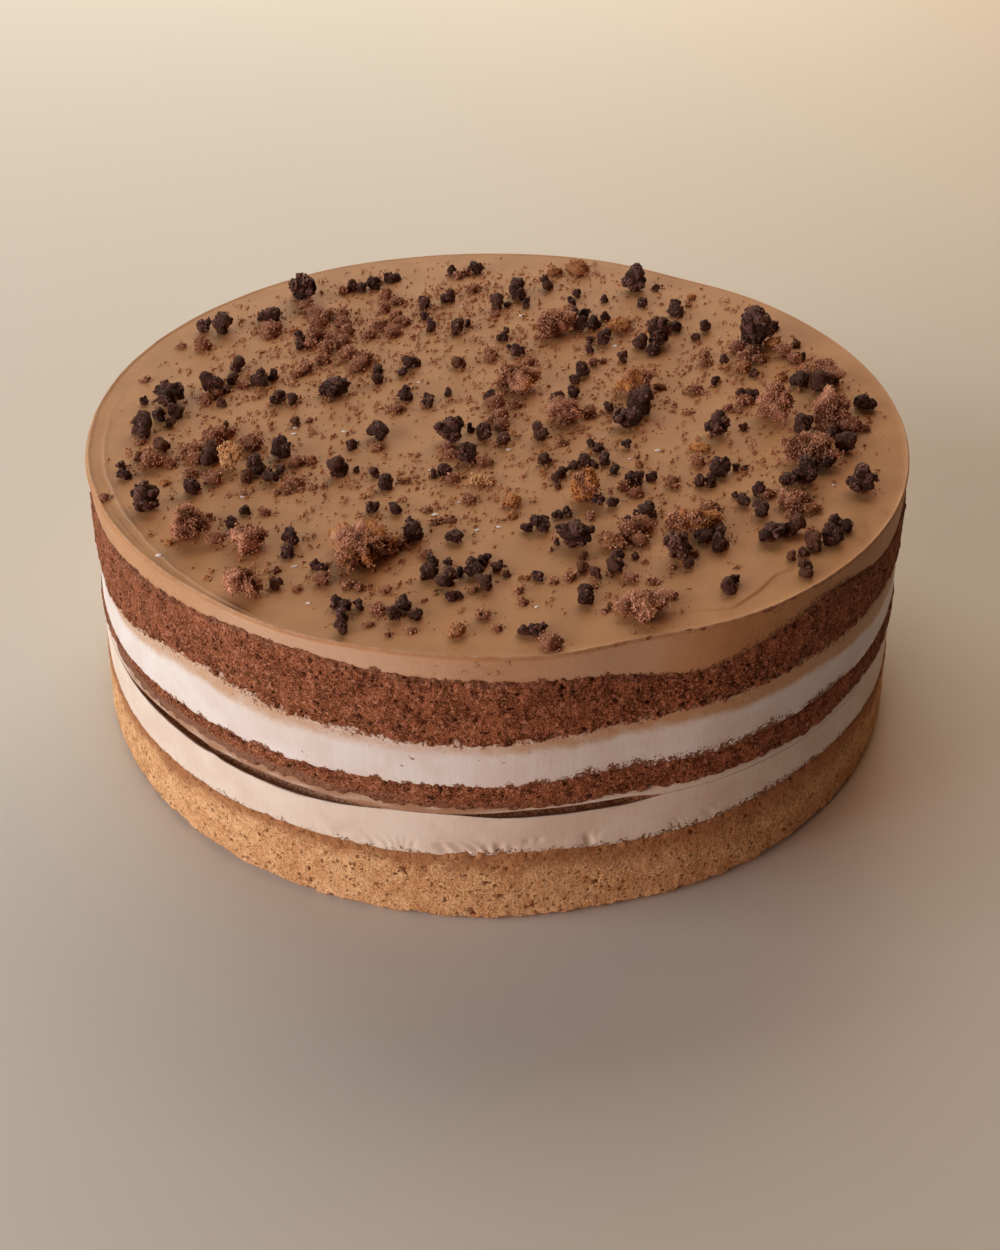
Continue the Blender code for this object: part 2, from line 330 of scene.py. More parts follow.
def blend(tree, factor, first, second):
    """Colour mixed from the first to the second by a factor."""
    colours = {number: (*value, 1.0) if isinstance(value, tuple) else value
               for number, value in ((0, factor), (6, first), (7, second))}
    return add(tree, "Mix", colours, data_type="RGBA", clamp_factor=True).outputs[2]


def ramp(tree, value, low, high, to_low=0.0, to_high=1.0):
    """A number eased from one range to another."""
    ends = {"Value": value, "From Min": low, "From Max": high, "To Min": to_low, "To Max": to_high}
    return add(tree, "MapRange", ends, interpolation_type="SMOOTHSTEP").outputs["Result"]


def maths(tree, how, first, second):
    """Two numbers put together."""
    return add(tree, "Math", {0: first, 1: second}, operation=how).outputs[0]


def added(tree, *terms):
    """Numbers added up. A term may be a pair, which is multiplied first."""
    products = [maths(tree, "MULTIPLY", *term) if isinstance(term, tuple) else term for term in terms]
    total = products[0]
    for product in products[1:]:
        total = maths(tree, "ADD", total, product)
    return total


def attribute(tree, name):
    """A number stored on the mesh."""
    return add(tree, "Attribute", attribute_name=name, attribute_type="GEOMETRY").outputs["Fac"]


def noise(tree, place, scale, detail, roughness=0.5):
    """A random field over places, from 0 to 1."""
    settings = {"Vector": place, "Scale": scale, "Detail": detail, "Roughness": roughness}
    return add(tree, "TexNoise", settings).outputs["Fac"]


def cells(tree, place, scale):
    """Scattered cells: the distance from the nearest one's middle, and that one's random number."""
    made = add(tree, "TexVoronoi", {"Vector": place, "Scale": scale})
    chosen = add(tree, "SeparateColor", {"Color": made.outputs["Color"]})
    return made.outputs["Distance"], chosen.outputs["Red"]


def grain_group():
    """Crumb grain, which the sponge materials share: grains, gathered in clumps, and ragged pores of two
    sizes, all finer than the mesh. Pores are cells of random size, their outline warped and roughened."""
    tree = bpy.data.node_groups.new("crumb grain", "ShaderNodeTree")
    for way, names in (("INPUT", ("Grain", "Pore")), ("OUTPUT", ("Height", "Speck", "Pores"))):
        for name in names:
            tree.interface.new_socket(name, in_out=way, socket_type="NodeSocketFloat")
    sizes = tree.nodes.new("NodeGroupInput").outputs
    results = tree.nodes.new("NodeGroupOutput").inputs
    place = add(tree, "TexCoord").outputs["Object"]
    bent = add(tree, "TexNoise", {"Vector": place, "Scale": 900.0, "Detail": 3.0, "Roughness": 0.7})
    aside = add(tree, "VectorMath", {0: bent.outputs["Color"], 1: (0.5, 0.5, 0.5)}, operation="SUBTRACT")
    aside = add(tree, "VectorMath", {0: aside.outputs[0], "Scale": 1.6 * MM}, operation="SCALE")
    warped = add(tree, "VectorMath", {0: place, 1: aside.outputs[0]}).outputs[0]
    grain_scale = maths(tree, "DIVIDE", 1.0, sizes["Grain"])
    pore_scale = maths(tree, "DIVIDE", 1.0, sizes["Pore"])
    fine = noise(tree, place, grain_scale, 3.0, 0.7)
    rough = maths(tree, "SUBTRACT", fine, 0.5)
    pores = []
    for finer, fewest, most, depth in ((1.0, 0.66, 0.46, 1.0), (2.3, 0.40, 0.42, 0.7)):
        distance, chosen = cells(tree, warped, maths(tree, "MULTIPLY", pore_scale, finer))
        size = added(tree, ramp(tree, chosen, fewest, 1.0, -0.14, most), (rough, -0.6))
        edge = maths(tree, "SUBTRACT", size, distance)
        pores.append(maths(tree, "MULTIPLY", ramp(tree, edge, -0.06, 0.12), depth))
    pored = maths(tree, "MAXIMUM", *pores)
    clump = ramp(tree, noise(tree, warped, maths(tree, "MULTIPLY", grain_scale, 0.42), 2.0, 0.6), 0.30, 0.70)
    tree.links.new(maths(tree, "SUBTRACT", added(tree, (clump, 0.5), fine), pored), results["Height"])
    tree.links.new(added(tree, (ramp(tree, fine, 0.40, 0.60), 0.7), (clump, 0.3)), results["Speck"])
    tree.links.new(pored, results["Pores"])
    return tree


crumb_grain = grain_group()


def food(name, roughness, specular):
    """A new material with the values that are the same all over, its node tree, and places on the object."""
    material = bpy.data.materials.new(name)
    material.use_nodes = True
    tree = material.node_tree
    shader = tree.nodes["Principled BSDF"]
    shader.inputs["Roughness"].default_value = roughness
    shader.inputs["Specular IOR Level"].default_value = specular
    return material, tree, add(tree, "TexCoord").outputs["Object"]


def finish_food(tree, colour, height, depth, strength=1.0):
    """Give a food its colour, and its finest relief as bump."""
    shader = tree.nodes["Principled BSDF"]
    tree.links.new(colour, shader.inputs["Base Color"])
    ridge = add(tree, "Bump", {"Height": height, "Strength": strength, "Distance": depth})
    tree.links.new(ridge.outputs["Normal"], shader.inputs["Normal"])


def sponge_material(name, light, dark, glint, hole, soaked, grain, pore, bump):
    """Open crumb: its grains lie between a light and a dark colour that drift over it, and the most forward
    ones are painted paler towards the glint colour as a highlight; it takes the soaked colour where cream
    has soaked in, is painted dark as shade into the holes and pores, and carries the crumb grain as bump."""
    material, tree, place = food(name, roughness=0.9, specular=0.12)
    crumb = tree.nodes.new("ShaderNodeGroup")
    crumb.node_tree = crumb_grain
    crumb.inputs["Grain"].default_value = grain
    crumb.inputs["Pore"].default_value = pore
    high, speck, pores = crumb.outputs
    soaked_share = attribute(tree, "soaked")
    patch = ramp(tree, noise(tree, place, 210.0, 3.0), 0.3, 0.7)
    dry = blend(tree, ramp(tree, added(tree, (patch, 0.5), speck), 0.15, 1.3), dark, light)
    # Painted highlight: the most forward grains are lightened towards the glint colour.
    forward = maths(tree, "MULTIPLY", ramp(tree, high, 0.82, 1.08), 0.6)
    wet = blend(tree, soaked_share, blend(tree, forward, dry, glint), soaked)
    open_share = added(tree, 0.8, (soaked_share, -0.4))
    # Painted shade: pores and hollows are darkened towards the hole colour.
    pored = blend(tree, maths(tree, "MULTIPLY", pores, open_share), wet, hole)
    rough = maths(tree, "SUBTRACT", speck, 0.5)
    sunk = ramp(tree, added(tree, attribute(tree, "hollow"), (rough, -0.45)), 0.12, 0.85)
    finish_food(tree, blend(tree, sunk, pored, hole), high, bump)
    return material


SPONGE_COLUMNS = 1600
SPONGE_ROW = 0.45 * MM
SPONGE_FALLS_BACK = 1.7 * MM


def sponge_side(node, seed, relief, torn_share, per_cm2, hole_radii, hole_depth, ragged, smooth=()):
    """A sponge's torn side: rough crumb on a wall, pitted with ragged tears and with round holes, and drawn
    in raggedly at its joins. It is smoother where a knife has smeared it, given as swells and the height
    above the lower join that they reach. Gives its grid and how hollow and how smeared each point is."""
    turn, radius, height, below, above = wall(node, SPONGE_COLUMNS, SPONGE_ROW)
    at = on_side(radius, turn, height)
    uneven = layered(at, (0.6, 9.0, seed), (0.4, 2.4, seed + 1))
    crumbs = layered(at, (0.5, 1.3, seed + 2), (0.5, 0.7, seed + 3))
    edge = ragged * layered(at, (0.45, 5.0, seed + 4), (0.6, 1.9, seed + 5), (0.3, 0.95, seed + 12))
    tears = layered(at, (0.55, 1.9, seed + 7), (0.45, 0.95, seed + 8), (0.15, 7.0, seed + 9))
    tears = eased(tears, 0.50 - torn_share, 0.80 - torn_share)
    hollow = np.maximum(holes(radius.shape, SPONGE_ROW, per_cm2, hole_radii, seed + 6), 0.9 * tears)
    smear = np.zeros(radius.shape)
    if smooth:
        swells, reach = smooth
        wavy = above + 0.9 * MM * clouds(at, (7.0 * MM, 7.0 * MM, 3.0 * MM), seed + 10)
        smear = np.clip(swell(bearing_of(turn), *swells), 0.0, 1.0) * eased(wavy, reach, reach - 0.8 * MM)
    hollow = hollow * (1.0 - 0.9 * smear)
    back = drawn_in(below + edge, SPONGE_FALLS_BACK) + drawn_in(above + edge, SPONGE_FALLS_BACK)
    radius = radius + relief * (uneven + 0.9 * crumbs * (1.0 - smear)) - hole_depth * hollow - back
    return turn, radius, height, below, above, hollow, smear


FOOT_OUT = 1.4 * MM                     # how far the foot stands outside the CAD's; it fades out at
FOOT_HEIGHT = 18.0 * MM                 # this height
BOTTOM_ROUND = 1.6 * MM                 # how far in the bottom edge itself is rounded
turn, radius, height, below, above, hollow = sponge_side(
    "base_sponge", 11, relief=0.22 * MM, torn_share=0.02, per_cm2=9.0, hole_radii=(0.24 * MM, 0.56 * MM),
    hole_depth=0.55 * MM, ragged=1.1 * MM)[:6]
foot = np.clip(above, 0.0, None)
at = on_side(radius, turn, height)
crust = MM * layered(at, (0.6, 3.0, 21), (0.5, 1.1, 24))
height = np.maximum(height, 0.0)
radius = radius + FOOT_OUT * np.clip(1.0 - above / FOOT_HEIGHT, 0.0, 1.0)
radius = radius - BOTTOM_ROUND * (1.0 - eased(foot + crust, -0.5 * MM, 1.5 * MM))
golden = layer_shell("base_sponge_crumb", turn, radius, height, top=20.35 * MM, bottom=0.0)
soak_reach = 6.0 * MM + 9.0 * MM * swell(bearing_of(turn), (33, 26, 1.0))
soak = eased(below + MM * layered(at, (2.2, 5.0, 22), (1.6, 1.4, 23)), soak_reach, 0.2 * MM)
bottom_crust = eased(foot + 2 * crust, 1.4 * MM, 0.2 * MM)
give(golden, hollow=on_shell(hollow), soaked=on_shell(np.maximum(0.85 * soak, 0.9 * bottom_crust)))
# Its glint colour is a painted highlight, and its hole colour is painted shade.
golden_crumb = sponge_material(
    "golden sponge", light=(0.97, 0.585, 0.31), dark=(0.62, 0.285, 0.115), glint=(0.97, 0.70, 0.44),
    hole=(0.20, 0.068, 0.022), soaked=(0.42, 0.170, 0.072), grain=0.40 * MM, pore=1.05 * MM, bump=0.28 * MM)
put_in("base_sponge_crumb", golden, golden_crumb, "golden_sponge", "base_sponge")

# ------------------------------------------------------------------------------------------- lower cream
# Whipped mocha cream, spread on the base and wiped flush with a palette knife. The sponge above has lifted
# off it round the front left, and left a slit under a thin film of cream.

CREAM_COLUMNS = 1200
CREAM_ROW = 0.6 * MM
CREAM_FALLS_BACK = 1.6 * MM
FILM_ROWS = 8
BODY_ROWS = 33
SLIT_DEPTH = 3.6 * MM
CREASE = 0.10 * MM                      # half the slit's height, and its depth, where it is closed
# The slit's outline, from its upper lip in along the roof, down the back and up behind its lower lip: the
# shares of its depth inwards, of half its height up, and of its depth down.
SLIT_OUTLINE = (
    (0.35, 1.0, 0.0), (0.75, 0.9, 0.05), (1.0, 0.4, 0.15), (1.0, -0.4, 0.35), (0.8, -1.0, 0.5),
    (0.5, -1.0, 0.36), (0.22, -1.0, 0.16), (0.06, -1.0, 0.04), (0.0, -1.0, 0.0))


def wiped(at, seed):
    """Relief of cream that a knife has wiped: slight waves, and very faint upright strokes."""
    return MM * layered(at, (0.14, (16.0, 16.0, 9.0), seed), (0.018, (1.3, 1.3, 6.0), seed + 1))


def cream_material(name, pale, deep, stain, drag, roughness, dots):
    """Wiped cream: a soft drift between two tones, a stain of syrup, crumb dragged over it in feathered
    grains, a pale crest painted as a highlight where it is pressed up, tiny air holes up to the dots' size
    painted dark with the drag colour as their shade, and faint strokes as bump. Some layers also paint light
    and shade through the stain and drag colours."""
    material, tree, place = food(name, roughness, specular=0.2)
    upright = add(tree, "Mapping", {"Vector": place, "Scale": (1.0, 1.0, 0.22)}).outputs["Vector"]
    strokes = noise(tree, upright, 1100.0, 4.0, 0.7)
    drift = added(tree, (strokes, 0.4), (noise(tree, place, 90.0, 2.0), 0.9))
    tone = blend(tree, ramp(tree, drift, 0.48, 0.82), deep, pale)
    grainy = maths(tree, "SUBTRACT", ramp(tree, noise(tree, place, 1300.0, 3.0, 0.7), 0.34, 0.66), 0.5)
    mottled = added(tree, attribute(tree, "stain"), (grainy, 0.14))
    stained = blend(tree, ramp(tree, mottled, 0.0, 0.95), tone, stain)
    feathered = added(tree, attribute(tree, "drag"), (grainy, 0.7))
    dragged = blend(tree, ramp(tree, feathered, 0.36, 0.72), stained, drag)
    # Painted highlight: the crest is painted in the pale tone.
    crested = blend(tree, attribute(tree, "crest"), dragged, pale)
    # Painted shade: the air holes are darkened with the drag colour.
    distance, chosen = cells(tree, place, 280.0)
    size = ramp(tree, chosen, 0.88, 1.0, 0.0, dots)
    dot = ramp(tree, maths(tree, "SUBTRACT", size, distance), 0.0, 0.03)
    finish_food(tree, blend(tree, dot, crested, drag), maths(tree, "SUBTRACT", strokes, dot), 0.10 * MM, 0.6)
    return material


turn = 2 * np.pi * np.arange(CREAM_COLUMNS) / CREAM_COLUMNS
bearing = bearing_of(turn)
upper_rim = rim("lower_cream", True, CREAM_COLUMNS)
lower_rim = rim("lower_cream", False, CREAM_COLUMNS)
upper, lower = upper_rim[1], lower_rim[1]

# The slit opens in two stretches round the front, the left one nipped once; elsewhere it is a mere crease.
left_gape = eased(bearing, -66.0, -44.0) * eased(-bearing, 12.0, 25.0)
left_gape = left_gape * (1.0 - 0.35 * peak(bearing, -38.0, 1.2))
right_gape = eased(bearing, -7.0, 5.0) * eased(-bearing, -21.5, -16.0)
gape = np.maximum(left_gape, right_gape)
slit = lower + (0.870 - 0.055 * eased(-bearing, 4.0, 20.0)) * (upper - lower)
slit = slit + 0.12 * MM * clouds(on_side(lower_rim[0], turn, slit), 5.0 * MM, 35)
half = CREASE + 1.35 * MM * left_gape + 1.1 * MM * right_gape
deep = CREASE + SLIT_DEPTH * gape

# The rows run down the film above the slit, round the slit, and down the body below it.
inwards, upwards, downwards = np.array(SLIT_OUTLINE).T[:, :, None]
film_share = np.linspace(0.0, 1.0, FILM_ROWS)[:, None]
body_share = np.linspace(0.0, 1.0, BODY_ROWS + 1)[1:, None] ** 1.3
height = np.vstack((
    (upper + OVERLAP) * (1.0 - film_share) + (slit + half) * film_share,
    slit + half * upwards - deep * downwards,
    (slit - half) * (1.0 - body_share) + (lower - OVERLAP) * body_share))
slit_end = FILM_ROWS + len(SLIT_OUTLINE)
row = np.arange(len(height))[:, None]
in_film = row < FILM_ROWS
fall = np.zeros(height.shape)
fall[FILM_ROWS:slit_end] = inwards * deep
radius = between_rims(upper_rim, lower_rim, height)
at = on_side(radius, turn, height)

# A rolled lip below the slit and a thin ridge above it, and arched marks of the comb along the foot.
rolled = gape * peak(height, slit - half, 0.45 * MM) * (row >= slit_end - 1)
ridge = 0.28 * MM * peak(height, slit + half + 0.35 * MM, 0.35 * MM) * in_film
wavy = 0.6 + 0.4 * clouds(at, (2.5 * MM, 2.5 * MM, 9.0 * MM), 39)
lips = wavy * (0.55 * MM * rolled + ridge * (0.25 + gape))
torn = 0.35 * MM * clouds(at, 2.2 * MM, 34)
back = drawn_in(upper - height + torn, CREAM_FALLS_BACK) + drawn_in(height - lower + torn, CREAM_FALLS_BACK)
from_foot = np.clip(height - lower, 0.0, None)
arc = np.radians(bearing) * lower_rim[0]
bent = 0.8 * np.sqrt(from_foot / (5.0 * MM)) + 1.3 * clouds(at, 7.0 * MM, 36)
comb = np.abs(np.sin(np.pi * (arc / (3.4 * MM) + bent))) * eased(clouds(at, 4.5 * MM, 33), -0.3, 0.4)
comb = 0.9 * MM * comb * eased(from_foot, 6.0 * MM, 1.5 * MM) * eased(from_foot, 0.2 * MM, 1.2 * MM)
comb = comb * swell(bearing, (5, 24, 1.0), (150, 40, 0.6))
relief = (wiped(at, 31) - comb) * (in_film | (row >= slit_end))
radius = radius + relief + lips - fall - back
lower_body = layer_shell("lower_cream_body", turn, radius, height, top=36.25 * MM, bottom=20.65 * MM)

# Syrup stains the film, and crumb is dragged along the foot. The inside of the slit is painted dark, as its
# shade, with the stain and drag colours; the lips are painted pale, as their highlight.
filmed = eased(bearing, -70.0, -52.0) * eased(-bearing, -18.0, -2.0)
film = (0.80 + 0.35 * clouds(at, (4.0 * MM, 4.0 * MM, 0.6 * MM), 37)) * (0.12 + 0.88 * filmed)
bitten = MM * layered(at, (0.8, (1.2, 1.2, 3.0), 38), (0.8, 3.6, 40))
right_share = swell(bearing, (36, 24, 1.0))
foot_drag = eased(height - lower + bitten, 1.9 * MM + 1.5 * MM * right_share, 0.2 * MM)
foot_drag = foot_drag * (0.42 + 0.28 * right_share)
# Painted shade inside the slit, full from 0.4 mm in.
inside_slit = np.where((row >= FILM_ROWS) & (row < slit_end - 2), np.clip(fall / (0.4 * MM), 0.0, 1.0), 0.0)
# Painted highlight along the film's edge over the right slit.
outlined = 0.8 * right_gape * peak(height, slit + half, 0.5 * MM) * in_film
give(lower_body, stain=on_shell(np.maximum(in_film * film, inside_slit)),
     drag=on_shell(np.clip(foot_drag + 0.55 * inside_slit, 0.0, 1.0)),
     crest=on_shell(np.clip(rolled + outlined, 0.0, 1.0)))
# Its stain and drag colours also paint the shade inside the slit.
pale_cream = cream_material(
    "pale cream", pale=(0.86, 0.745, 0.655), deep=(0.79, 0.640, 0.545), stain=(0.42, 0.225, 0.135),
    drag=(0.19, 0.070, 0.030), roughness=0.55, dots=0.10)
put_in("lower_cream_body", lower_body, pale_cream, "pale_cream", "lower_cream")

# ---------------------------------------------------------------------------------------- middle sponge
# A thin cocoa sponge. The knife has torn its cut side and, at the front left, smeared its lower edge smooth
# with cream.

middle = sponge_side(
    "middle_sponge", 41, relief=0.34 * MM, torn_share=0.04, per_cm2=8.0, hole_radii=(0.30 * MM, 0.62 * MM),
    hole_depth=0.8 * MM, ragged=1.5 * MM, smooth=(((-42, 26, 1.3), (150, 40, 0.8)), 2.9 * MM))
turn, radius, height, below, above, hollow, smear = middle
middle_crumb = layer_shell("middle_sponge_crumb", turn, radius, height, top=42.05 * MM, bottom=36.55 * MM)
at = on_side(radius, turn, height)
damp = eased(above + 1.2 * MM * clouds(at, 3.0 * MM, 51), 1.4 * MM, 0.0)
give(middle_crumb, hollow=on_shell(hollow), soaked=on_shell(np.maximum(0.4 * damp, 0.92 * smear)))
# Its glint colour is a painted highlight, and its hole colour is painted shade.
cocoa_crumb = sponge_material(
    "cocoa sponge", light=(0.47, 0.162, 0.079), dark=(0.120, 0.034, 0.014), glint=(0.64, 0.31, 0.20),
    hole=(0.035, 0.010, 0.004), soaked=(0.31, 0.155, 0.100), grain=0.46 * MM, pore=1.05 * MM, bump=0.42 * MM)
put_in("middle_sponge_crumb", middle_crumb, cocoa_crumb, "cocoa_sponge", "middle_sponge")

# ------------------------------------------------------------------------------------------- upper cream
# The palest cream, wiped like the lower one. Under the top sponge, syrup has stained it tan in a wavy band.
# The knife has dragged cocoa crumb up over it from the sponge below, and left a few small curved marks.

turn, radius, height, below, above = wall("upper_cream", CREAM_COLUMNS, CREAM_ROW)
bearing = bearing_of(turn)
at = on_side(radius, turn, height)
torn = 0.8 * MM * layered(at, (0.5, 3.5, 63), (0.7, 1.3, 64))
back = drawn_in(below + torn, 1.1 * MM) + drawn_in(above + torn, CREAM_FALLS_BACK)
radius = radius + wiped(at, 61) - back
upper_body = layer_shell("upper_cream_body", turn, radius, height, top=57.05 * MM, bottom=42.35 * MM)

# The tan band: how far down it reaches round the cake, and how strong it is.
band = 3.4 + swell(bearing, (-38, 16, 2.0), (12, 12, 0.6), (42, 18, 2.2), (64, 12, 3.0), (-78, 14, -3.0),
                   (160, 60, 0.6))
band = MM * (band + layered(at, (0.7, 6.0, 71), (0.35, 1.8, 72)))
staining = 0.80 + swell(bearing, (50, 28, 0.55), (-10, 12, -0.25))
staining = staining * (0.86 + 0.18 * clouds(at, (3.0 * MM, 3.0 * MM, 2.0 * MM), 74))
stain = staining * eased(below, band + 1.5 * MM, band - 2.6 * MM)

# Crumb dragged up from the sponge below, a little from the one above, and a smudge of it at the right.
reach = np.clip(swell(bearing, (26, 22, 1.0), (46, 10, 0.4), (170, 40, 0.5)), 0.0, 1.0)
bulging = MM * layered(at, (1.3, (1.6, 1.6, 6.0), 73), (1.0, 4.2, 81))
drag = 0.95 * eased(above + bulging, (1.1 + 3.6 * reach) * MM, -0.3 * MM)
drag = np.maximum(drag, 0.55 * eased(below + 0.7 * MM * clouds(at, 1.4 * MM, 78), 1.3 * MM, 0.1 * MM))
smudge = eased(below + 1.0 * MM * clouds(at, 3.0 * MM, 79), 5.5 * MM, 0.5 * MM)
drag = np.maximum(drag, smudge * swell(bearing, (58, 18, 0.42)))

# Single flecks of crumb, a grainy stretch of them just under the sponge, and the curved marks, given by
# their bearing and height in mm: each is darkest along a short arc.
flecks = eased(clouds(at, (1.1 * MM, 1.1 * MM, 2.2 * MM), 75), 0.62, 0.85) * eased(below, 7.0 * MM, 1.0 * MM)
grainy = swell(bearing, (-50, 20, 0.62), (-24, 16, 0.558), (30, 26, 0.496))
grainy = grainy * eased(below + 0.8 * MM * clouds(at, 2.5 * MM, 77), 2.6 * MM, 0.2 * MM)
flecks = np.maximum(flecks, grainy)
CURVED_MARKS = ((-10.0, 50.5), (-11.2, 47.8), (1.0, 50.5), (-23.5, 45.5))
for middle, high in CURVED_MARKS:
    along = np.radians(bearing - middle) * radius / MM
    across = height / MM - high + 0.5 * along - 0.3 * along ** 2
    flecks = np.maximum(flecks, 1.6 * np.exp(-((along / 0.9) ** 4) - (across / 0.3) ** 2))

# A pale crest, painted as a highlight, where the cream is pressed up under the sponge and no crumb covers
# it.
crest = peak(below, 0.25 * MM, 0.35 * MM) * eased(clouds(at, 3.0 * MM, 76), -0.5, 0.3)
give(upper_body, stain=on_shell(stain), drag=on_shell(np.maximum(drag, 0.55 * flecks)),
     crest=on_shell(0.8 * crest * (1.0 - np.clip(2.0 * drag, 0.0, 1.0))))
palest_cream = cream_material(
    "palest cream", pale=(0.86, 0.80, 0.785), deep=(0.80, 0.70, 0.665), stain=(0.58, 0.335, 0.190),
    drag=(0.22, 0.078, 0.038), roughness=0.55, dots=0.13)
put_in("upper_cream_body", upper_body, palest_cream, "pale_cream", "upper_cream")

# -------------------------------------------------------------------------------------------- top sponge
# The thick cocoa sponge, laid on the palest cream. Its cut side is coarser and more torn than the middle
# one's, most of all along its lower edge, where crumb has pulled away.

turn, radius, height, below, above, hollow = sponge_side(
    "top_sponge", 81, relief=0.42 * MM, torn_share=0.06, per_cm2=9.0, hole_radii=(0.30 * MM, 0.75 * MM),
    hole_depth=0.95 * MM, ragged=1.8 * MM)[:6]
at = on_side(radius, turn, height)
ragged = layered(at, (0.5, 2.0, 93), (0.6, 0.95, 94)) + 0.35 * eased(above, 2.6 * MM, 0.3 * MM)
pulled = eased(ragged, 0.42, 0.62) * eased(above, 4.2 * MM, 0.8 * MM)
radius = radius - 1.5 * MM * pulled
top_crumb = layer_shell("top_sponge_crumb", turn, radius, height, top=73.35 * MM, bottom=57.35 * MM)
damp = eased(below + 1.0 * MM * clouds(at, 3.0 * MM, 92), 1.2 * MM, 0.0)
# Where crumb has pulled away it is also painted dark as shade, like the holes.
give(top_crumb, hollow=on_shell(np.maximum(hollow, pulled)), soaked=on_shell(0.3 * damp))
put_in("top_sponge_crumb", top_crumb, cocoa_crumb, "cocoa_sponge", "top_sponge")

# --------------------------------------------------------------------------------------------- top cream
# Mocha cream, poured on soft and spread level. The palette knife has pushed a rolled lip over the rim on
# the left, where two folds overlap, and cut it sharp at the front and right.

FACE_CELLS = 280                        # across the face; a quarter of the columns round its side
FACE_LEVEL = 81.2 * MM
TOP_SIDE_ROWS = 17
# Paths over the face, x and y in mm: a low step at the right, and the ridges that the knife has left.
STEP_CREASE = ((48, -96), (56, -95), (63, -88), (68, -81), (74, -77))
KNIFE_MARKS = (
    ((92, -46), (99, -50), (101, -57), (97, -64)),
    ((89, -50), (93, -54), (93, -62), (90, -68)),
    ((46, -2), (52, -7), (60, -8), (68, -4)),
    ((50, 3), (56, 0), (62, 2)),
    ((-6, -27), (12, -31), (34, -36)))


def face_level(x, y):
    """Height of the spread face away from its rim: level, with slight waves."""
    at = np.stack((x, y, np.zeros_like(x)), -1)
    return FACE_LEVEL + MM * layered(at, (0.12, 30.0, 101), (0.05, 11.0, 102))


def beside_path(x, y, path):
    """Distance to a path of straight stretches, positive on its left, and the share of the way along."""
    corners = np.array(path) * MM
    nearest = np.full(x.shape, np.inf)
    signed = np.zeros(x.shape)
    along = np.zeros(x.shape)
    stretches = len(corners) - 1
    for number, (start, end) in enumerate(zip(corners, corners[1:])):
        way = end - start
        share = np.clip(((x - start[0]) * way[0] + (y - start[1]) * way[1]) / (way @ way), 0.0, 1.0)
        off_x = x - start[0] - share * way[0]
        off_y = y - start[1] - share * way[1]
        apart = np.hypot(off_x, off_y)
        closer = apart < nearest
        side = np.sign(way[0] * off_y - way[1] * off_x)
        signed = np.where(closer, apart * side, signed)
        along = np.where(closer, (number + share) / stretches, along)
        nearest = np.minimum(nearest, apart)
    return signed, along


def rim_relief(inward, bearing, at):
    """Relief near the rim, by distance inward: an outer roll, an inner fold that runs out to the rim, the
    crease between them, the groove behind, and a raised edge where it is cut sharp. Also a painted
    highlight:
    how much paler each point is painted along the fold's crest and along the cut edge."""
    wander = MM * layered(at, (0.30, 9.0, 103), (0.12, 3.0, 104))
    left = swell(bearing, (-95, 42, 1.0), (-50, 22, 0.6), (170, 40, 0.15))
    roll_at = 0.55 * MM + wander * left
    roll = (0.08 + 0.26 * left) * MM * np.exp(-(np.abs(inward - roll_at) / (0.50 * MM)) ** 1.7)
    fold_at = (0.7 + 4.0 * eased(-bearing, 18.0, 64.0)) * MM + wander
    fold_share = eased(-bearing, 14.0, 34.0) * eased(bearing, -104.0, -66.0)
    fold_high = (0.16 + 0.08 * eased(-bearing, 44.0, 60.0)) * MM * fold_share
    steep = np.where(inward > fold_at, 0.55 * MM, 0.60 * MM)
    fold = fold_high * np.exp(-(np.abs(inward - fold_at) / steep) ** 1.6)
    creased = eased(-bearing, 42.0, 54.0) * eased(bearing, -72.0, -60.0)
    crease = 0.22 * MM * creased * peak(inward, 0.62 * fold_at, 0.25 * MM)
    groove = 0.04 * MM * peak(inward, fold_at + 1.6 * MM, 1.2 * MM)
    sharp = eased(bearing, -40.0, -24.0) * eased(bearing, 110.0, 60.0)
    sharp = sharp * (1.0 + 0.5 * clouds(at, 1.5 * MM, 105))
    edge = 0.22 * MM * sharp * peak(inward, 0.35 * MM, 0.22 * MM)
    # Painted highlight: a paler line on the fold's crest and along the cut edge.
    pale = 0.6 * fold_share * peak(inward, fold_at - 0.2 * MM, 0.40 * MM)
    line = peak(inward, 0.3 * MM, 0.25 * MM) * (0.6 + 0.4 * clouds(at, 1.2 * MM, 106))
    return np.maximum(roll, fold) - crease - groove + edge, np.maximum(pale, line)


# The face is a square grid. Each square ring of it is bent into a circle, finer spaced towards the rim.
halfway = FACE_CELLS // 2
across = np.arange(-halfway, halfway + 1) / halfway
east, north = np.meshgrid(across, across, indexing="ij")
ring = np.maximum(np.abs(east), np.abs(north))
sideways = np.abs(east) >= np.abs(north)
slope = np.where(sideways, north, east) / np.where(sideways, np.where(ring > 0, east, 1.0), north)
turn = np.where(sideways, np.where(east < 0, np.pi, 0.0) + np.pi / 4 * slope,
                np.where(north < 0, 1.5 * np.pi, 0.5 * np.pi) - np.pi / 4 * slope)
columns = 4 * FACE_CELLS
rim_turn = 2 * np.pi * np.arange(columns + 1) / columns
upper_rim = rim("top_cream", True, columns)
lower_rim = rim("top_cream", False, columns)
rim_radius = np.interp(turn % (2 * np.pi), rim_turn, np.append(upper_rim[0], upper_rim[0, 0]))
inward = rim_radius * (0.26 * (1.0 - ring) + 0.74 * (1.0 - ring) ** 2)
at = on_side(rim_radius - inward, turn, np.zeros_like(turn))
x, y = at[..., 0], at[..., 1]
bearing = bearing_of(turn)
relief, lip_share = rim_relief(inward, bearing, at)
z = face_level(x, y) + relief
